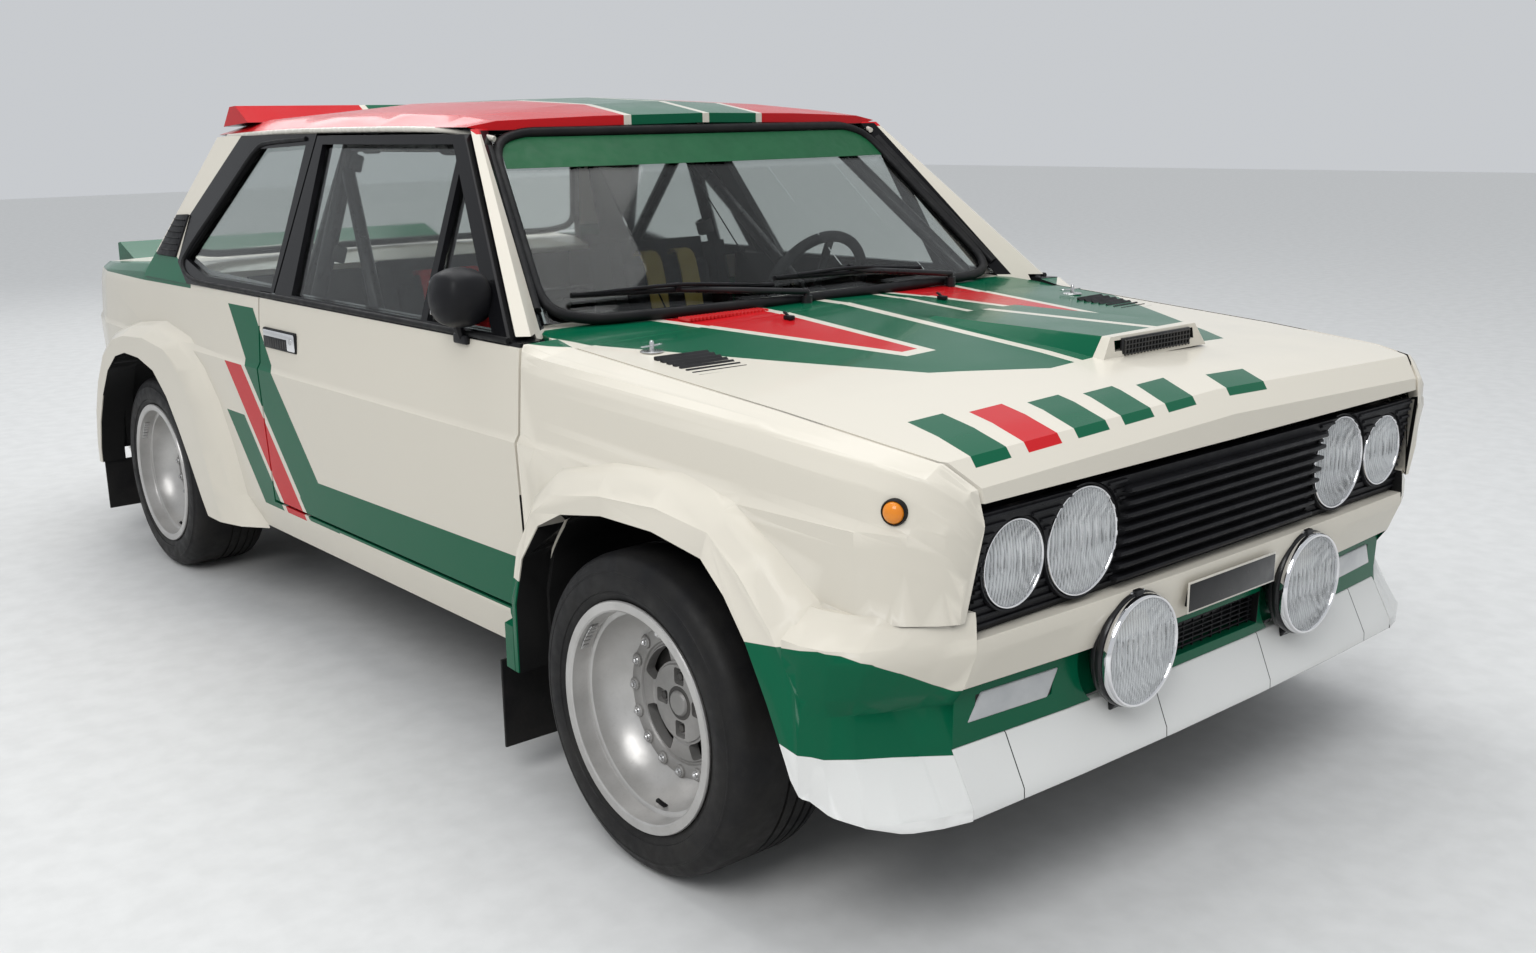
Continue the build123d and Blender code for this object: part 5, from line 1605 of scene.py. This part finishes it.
    def scuttle_slots(self) -> None:
        """Row of air slots in the scuttle before the windscreen."""
        slots = []
        for n in range(self.air_slots):
            x = -0.405 + self.air_pitch * n
            slots.append(Bench.block(RED_PAINT, (x, -1.008, 0.8955), (x + 0.0045, -0.97, 0.9025), 0.001, 1))
        Bench.mount(slots, "scuttle_slots", "body")

    def rear(self) -> None:
        """Blank rear plate, tail-lamp segments, exhaust mouth and plate lamp."""
        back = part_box("rear_panel")[1].y
        Bench.mount([
            Bench.block(PALE_PAINT, (-0.165, back + 0.0005, 0.62), (0.165, back + 0.0035, 0.73)),
            Bench.block(PLATE_BLACK, (-0.161, back + 0.0025, 0.624), (0.161, back + 0.0045, 0.726), 0.0006),
        ], "rear_blank_plate", "body")
        low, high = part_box("tail_lamps")
        wide = high.x - self.tail_start
        Bench.mount([
            Bench.block(finish, (self.tail_start + wide * first + 0.002, high.y - 0.004, low.z + 0.006),
                        (self.tail_start + wide * last - 0.002, high.y + 0.0035, high.z - 0.006), 0.003, 3)
            for first, last, finish in self.tail_segments
        ], "tail_lamp_segments", "body", mirrored=True)
        Bench.mount([Bench.lathe(PLATE_BLACK, [(0, 0), (0, 0.0205), (0.0016, 0.0205), (0.0016, 0)], self.pipe_end,
                                 (0, 0.998, 0.063), 32)], "exhaust_mouth", "body")
        Bench.mount([Bench.block(BLACK_PLASTIC, (-0.05, back - 0.001, 0.744), (0.05, back + 0.012, 0.76), 0.003, 3)],
                    "plate_lamp", "body")

    def build(self) -> None:
        """Make the body's fittings."""
        for step in (self.handle, self.side_lamps, self.pins, self.vents, self.bulge_mesh, self.wiper_blades,
                     self.scuttle_slots, self.rear):
            step()


@dataclass
class Seats:
    """Two bucket seats with soft pads and harness straps."""

    offset: float = 0.35
    half: float = 0.158
    lean: float = 12.9
    voxel: float = 0.006
    swell: float = 0.008
    pressure: float = 4.0
    frames: int = 20
    buckle_at: Point3 = (0.35, -0.15, 0.372)
    shoulder: tuple[Point3, ...] = ((0.062, 0.12, 0.905), (0.062, 0.075, 0.945), (0.062, 0.045, 0.9),
                                    (0.062, 0.02, 0.78), (0.062, -0.01, 0.64), (0.05, -0.045, 0.5),
                                    (0.03, -0.09, 0.4), (0.03, -0.15, 0.374))
    strap_pad: tuple[Point3, ...] = ((0.062, 0.06, 0.935), (0.062, 0.037, 0.9), (0.062, 0.014, 0.8),
                                     (0.062, -0.004, 0.7))

    def shell(self) -> None:
        """The seats' upholstered shells, in place of their node."""
        shell = Bench.bevel(Bench.outward(Bench.copy(NODES["seats"], Matrix())), 0.012, 3)
        Bench.mount([Bench.dress(shell, BLACK_CLOTH)], "seat_shells", "body", angle=50, node="seats")

    def inflate(self, obj: Piece) -> None:
        """Blow a pad up by a short cloth simulation.

        Args:
            obj: The pad, which no point of may move further than the swell.
        """
        Bench.apply(obj, "REMESH", mode="VOXEL", voxel_size=self.voxel)
        before = [vertex.co.copy() for vertex in obj.data.vertices]
        Bench.pick(obj)
        cloth = obj.modifiers.new("cloth", "CLOTH")
        cloth.settings.use_pressure = True
        cloth.settings.uniform_pressure_force = self.pressure
        cloth.settings.effector_weights.gravity = 0.0
        for step in range(1, self.frames + 1):
            bpy.context.scene.frame_set(step)
        bpy.ops.object.modifier_apply(modifier=cloth.name)
        for vertex, place in zip(obj.data.vertices, before):
            moved = vertex.co - place
            if moved.length > self.swell:
                vertex.co = place + moved.normalized() * self.swell
        bpy.context.scene.frame_set(1)

    def pads(self) -> None:
        """Cushion and back pad of both seats."""
        x, h = self.offset, self.half
        for name, low, high, tilt in (
            ("seat_cushion", (x - h, -0.53, 0.322), (x + h, -0.08, 0.352), -6.5),
            ("seat_back_pad", (x - h, -0.078, 0.335), (x + h, -0.048, 0.925), -self.lean),
        ):
            left = Bench.block(None, low, high, 0.016, 4)
            pivot = Vector((0, *low[1:]))
            left.data.transform(Matrix.Translation(pivot) @ Matrix.Rotation(math.radians(tilt), 4, "X")
                                @ Matrix.Translation(-pivot))
            self.inflate(left)
            Bench.apply(left, "SUBSURF", levels=1, render_levels=1)
            right = Bench.copy(left, Matrix.Translation((-2 * x, 0, 0)))
            for piece, side in ((left, "left"), (right, "right")):
                Bench.mount([Bench.dress(piece, SEAT_CLOTH)], f"{name}_{side}", "body", angle=60)

    def strap(self, line: list[Vector], width: float, finish: Finish) -> Piece:
        """A flat strap along a line.

        Args:
            line: Points along its middle.
            width: Width across X.
            finish: Its finish.

        Returns:
            The strap.
        """
        obj = Bench.loop([point - ACROSS * width / 2 for point in line])
        with Bench.editing(obj):
            bpy.ops.mesh.extrude_edges_move(TRANSFORM_OT_translate={"value": (width, 0, 0)})
            bpy.ops.mesh.select_mode(type="FACE")
            bpy.ops.mesh.select_all(action="DESELECT")
        closing = line[0] + line[-1]
        for face in obj.data.polygons:
            face.select = (face.center * 2 - closing).yz.length < 0.002
        bpy.ops.object.mode_set(mode="EDIT")
        bpy.ops.mesh.delete(type="FACE")
        bpy.ops.object.mode_set(mode="OBJECT")
        Bench.apply(obj, "SUBSURF", levels=2, render_levels=2)
        return Bench.dress(Bench.apply(obj, "SOLIDIFY", thickness=0.0028, offset=0.0), finish)

    def harness(self) -> None:
        """Shoulder straps with pads, down to a buckle on each seat."""
        for side, finish in ((Side.RIGHT, RED_WEBBING), (Side.LEFT, YELLOW_WEBBING)):
            parts = []
            for hand in (-1, 1):
                for points, width in ((self.shoulder, 0.048), (self.strap_pad, 0.062)):
                    line = [Vector((side.value * self.offset + hand * x, y, z)) for x, y, z in points]
                    parts.append(self.strap(line, width, finish))
            x, y, z = self.buckle_at
            parts.append(Bench.lathe(STEEL, [(0, 0), (0, 0.028), (0.012, 0.028), (0.016, 0.022), (0.017, 0)],
                                     (side.value * x, y, z), (0, -0.25, 0.97), 32))
            Bench.mount(parts, f"harness_{side.name.lower()}", "body", angle=50)

    def build(self) -> None:
        """Make the seats."""
        self.shell()
        self.pads()
        self.harness()


@dataclass
class Cab:
    """Dashboard, steering wheel and roll cage details."""

    column: Point3 = (0, 0.92, 0.392)
    wheel_at: Point3 = (0.35, -0.56, 0.85)
    dials: tuple[Point3, ...] = ((0.29, 0.79, 0.042), (0.41, 0.79, 0.042), (0.185, 0.778, 0.026),
                                 (0.1, 0.778, 0.026), (0.02, 0.778, 0.026), (-0.3, 0.775, 0.032))
    dash: Point3 = (-0.7465, 0.828, 0.087)
    clamps: tuple[tuple[Point3, Point3], ...] = (
        ((0.535, 0.19, 1.205), (0.31, 0, -0.95)), ((0.6, 0.19, 0.98), (0.31, 0, -0.95)),
        ((0.53, -0.3, 1.25), (0, 1, 0)), ((0.48, 0.19, 1.25), (1, 0, 0)))

    def instruments(self) -> None:
        """Round instruments in the dashboard's rear face."""
        parts = []
        dash_y, dash_top, rake = self.dash
        for x, z, r in self.dials:
            y = dash_y - (dash_top - z) * rake
            for finish, profile in (
                (STEEL, [(0, r - 0.003), (0.008, r - 0.002), (0.009, r), (0.006, r + 0.003), (0, r + 0.003)]),
                (PLATE_BLACK, [(0, 0), (0, r - 0.002), (0.003, r - 0.002), (0.003, 0)]),
            ):
                parts.append(Bench.lathe(finish, profile, (x, y, z), (0, 1, 0.05), 32))
            parts.append(Bench.block(RED_PAINT, (x - 0.001, y + 0.0032, z), (x + 0.001, y + 0.0042, z + r * 0.8), 0))
        Bench.mount(parts, "instruments", "body")

    def build(self) -> None:
        """Dress the cab's solids, and add instruments, wheel cap and the cage's clamp collars."""
        Panel("dashboard", "body", BLACK_PLASTIC, 0.006).build()
        Panel("steering_wheel", "steering", BLACK_CLOTH, 0.0015, 50).build()
        Panel("roll_cage", "body", BLACK_PAINT, 0, 50).build()
        self.instruments()
        cap = [(-0.002, 0), (-0.002, 0.028), (0.004, 0.027), (0.008, 0.02), (0.009, 0)]
        Bench.mount([Bench.lathe(BLACK_PLASTIC, cap, self.wheel_at, self.column, 40)], "wheel_cap", "steering")
        collar = [(-0.02, 0.018), (-0.02, 0.0235), (-0.017, 0.0255), (0.017, 0.0255), (0.02, 0.0235), (0.02, 0.018)]
        Bench.mount([Bench.lathe(DARK_STEEL, collar, place, axis, 24) for place, axis in self.clamps],
                    "cage_clamps", "body", mirrored=True)


@dataclass
class Studio:
    """Floor, light and camera."""

    eye: Point3 = (-2.2355, -3.3468, 1.2874)
    yaw: float = 0.692749
    pitch: float = -0.239049
    roll: float = -0.0177655
    focus_px: float = 1467.1
    frame_px: Point2 = (1536.0, 953.0)
    centre_px: Point2 = (734.2, 480.0)
    backdrop: float = 0.62
    sky_colour: Colour = (0.93, 0.96, 1.0)
    lamps: tuple[tuple[str, Point3, float, float], ...] = (
        ("key_light", (-4.5, -3.5, 5.0), 3.5, 165.0), ("top_light", (0.5, 0.5, 6.0), 5.0, 130.0),
        ("rear_light", (1.5, 7.0, 5.5), 4.5, 110.0))

    def camera(self) -> None:
        """Set the camera at the photograph's viewing angle."""
        data = bpy.data.cameras.new("photo_camera")
        camera = bpy.data.objects.new("photo_camera", data)
        bpy.context.scene.collection.objects.link(camera)
        level = math.cos(self.pitch)
        ahead = Vector((math.sin(self.yaw) * level, math.cos(self.yaw) * level, math.sin(self.pitch)))
        right = Vector((math.cos(self.yaw), -math.sin(self.yaw), 0))
        up = right.cross(ahead)
        turned = right * math.cos(self.roll) + up * math.sin(self.roll)
        upright = up * math.cos(self.roll) - right * math.sin(self.roll)
        rows = [(*row, eye) for *row, eye in zip(turned, upright, -ahead, self.eye)]
        camera.matrix_world = Matrix((*rows, (0, 0, 0, 1)))
        width, height = self.frame_px
        data.lens = self.focus_px / width * data.sensor_width
        data.shift_x = (width / 2 - self.centre_px[0]) / width
        data.shift_y = (self.centre_px[1] - height / 2) / width
        bpy.context.scene.camera = camera

    def light(self) -> None:
        """Soft studio light from above and both sides."""
        world = bpy.data.worlds.new("studio")
        bpy.context.scene.world = world
        world.use_nodes = True
        pad = Pad(world.node_tree)
        sky = pad.split(pad.add("ShaderNodeTexCoord").outputs["Generated"])[2]
        shade = pad.fit(sky, -0.1, 0.8, 0.24, 1.0)
        path = pad.add("ShaderNodeLightPath")
        seen = pad.any_of([path.outputs[label] for label in ("Is Camera Ray", "Is Glossy Ray", "Is Transmission Ray")])
        pad.fill(world.node_tree.nodes["Background"], Strength=pad.mix_value(seen, shade, self.backdrop),
                 Color=self.sky_colour)
        for name, place, size, power in self.lamps:
            lamp = bpy.data.lights.new(name, "AREA")
            lamp.shape = "DISK"
            lamp.size = size
            lamp.energy = power
            obj = bpy.data.objects.new(name, lamp)
            obj.location = place
            obj.rotation_euler = (UP * 0.5 - Vector(place)).to_track_quat("-Z", "Y").to_euler()
            bpy.context.scene.collection.objects.link(obj)
        bpy.context.scene.view_settings.view_transform = "Standard"

    def build(self) -> None:
        """Make the camera, the light and a plain pale floor."""
        self.camera()
        self.light()
        Bench.clear()
        bpy.ops.mesh.primitive_plane_add(size=60, location=(0, 0, 0))
        floor = bpy.context.object
        floor.name = "studio_floor"
        Bench.settle(floor)
        Bench.dress(floor, FLOOR_PAINT)


FLANK_PAINT = Livery("flank_paint", bands=FLANK_BANDS)
DOOR_PAINT = Livery("door_paint", bands=DOOR_BANDS)
BONNET_PAINT = Livery("bonnet_paint", bands=BONNET_BANDS)
PLAIN_PAINT = Livery("plain_cream_paint")

PAINTED = (
    ("wing_right", "body", FLANK_PAINT),
    ("wing_left", "body", FLANK_PAINT),
    ("body_side_right", "body", FLANK_PAINT),
    ("body_side_left", "body", FLANK_PAINT),
    ("roof", "body", Livery("roof_paint", bands=ROOF_BANDS)),
    ("door_right", "door_r", DOOR_PAINT),
    ("door_left", "door_l", DOOR_PAINT),
    ("bonnet", "front_lid", BONNET_PAINT),
    ("boot_lid", "rear_lid", Livery("boot_paint", bands=BOOT_BANDS)),
    ("scuttle", "body", BONNET_PAINT),
    ("rear_deck", "body", PLAIN_PAINT),
    ("rear_panel", "body", PLAIN_PAINT),
    ("front_bumper", "body", Livery("bumper_paint", bands=FRONT_BANDS)),
    ("air_dam", "body", Livery("air_dam_paint", base=Shade.WHITE, bands=DAM_BANDS)),
    ("rear_bumper", "body", PLAIN_PAINT),
)
SHAPED = (
    ("floorpan", "body", UNDER_SEAL, 0.002),
    ("nose_panel", "body", BLACK_PAINT, 0.001),
    ("tail_lamps", "body", RED_GLASS, 0.004),
    ("mudflaps", "body", BLACK_RUBBER, 0.0015),
    ("engine", "body", CAST_METAL, 0.01),
    ("front_suspension", "body", DARK_STEEL, 0.001),
    ("rear_suspension", "body", DARK_STEEL, 0.001),
    ("exhaust", "body", PIPE_METAL, 0.001),
    ("wipers", "body", BLACK_PAINT, 0.001),
    ("knuckle_right", "upright_r", DARK_STEEL, 0.001),
    ("knuckle_left", "upright_l", DARK_STEEL, 0.001),
)
GLAZED = ("fixed_glass", "door_glass_right", "door_glass_left")


def main() -> None:
    """Build the sub-assemblies in order."""
    logging.basicConfig(level=logging.INFO, format="%(message)s")
    Studio().build()
    for node in GLAZED:
        Bench.dress(NODES[node], WINDOW_GLASS)
    for row in (*PAINTED, *SHAPED):
        Panel(*row).build()
    for assembly in (Wheels(), Lamps(), Nose(), WindowTrim(), BodyTrim(), Seats(), Cab()):
        assembly.build()


if __name__ == "__main__":
    main()
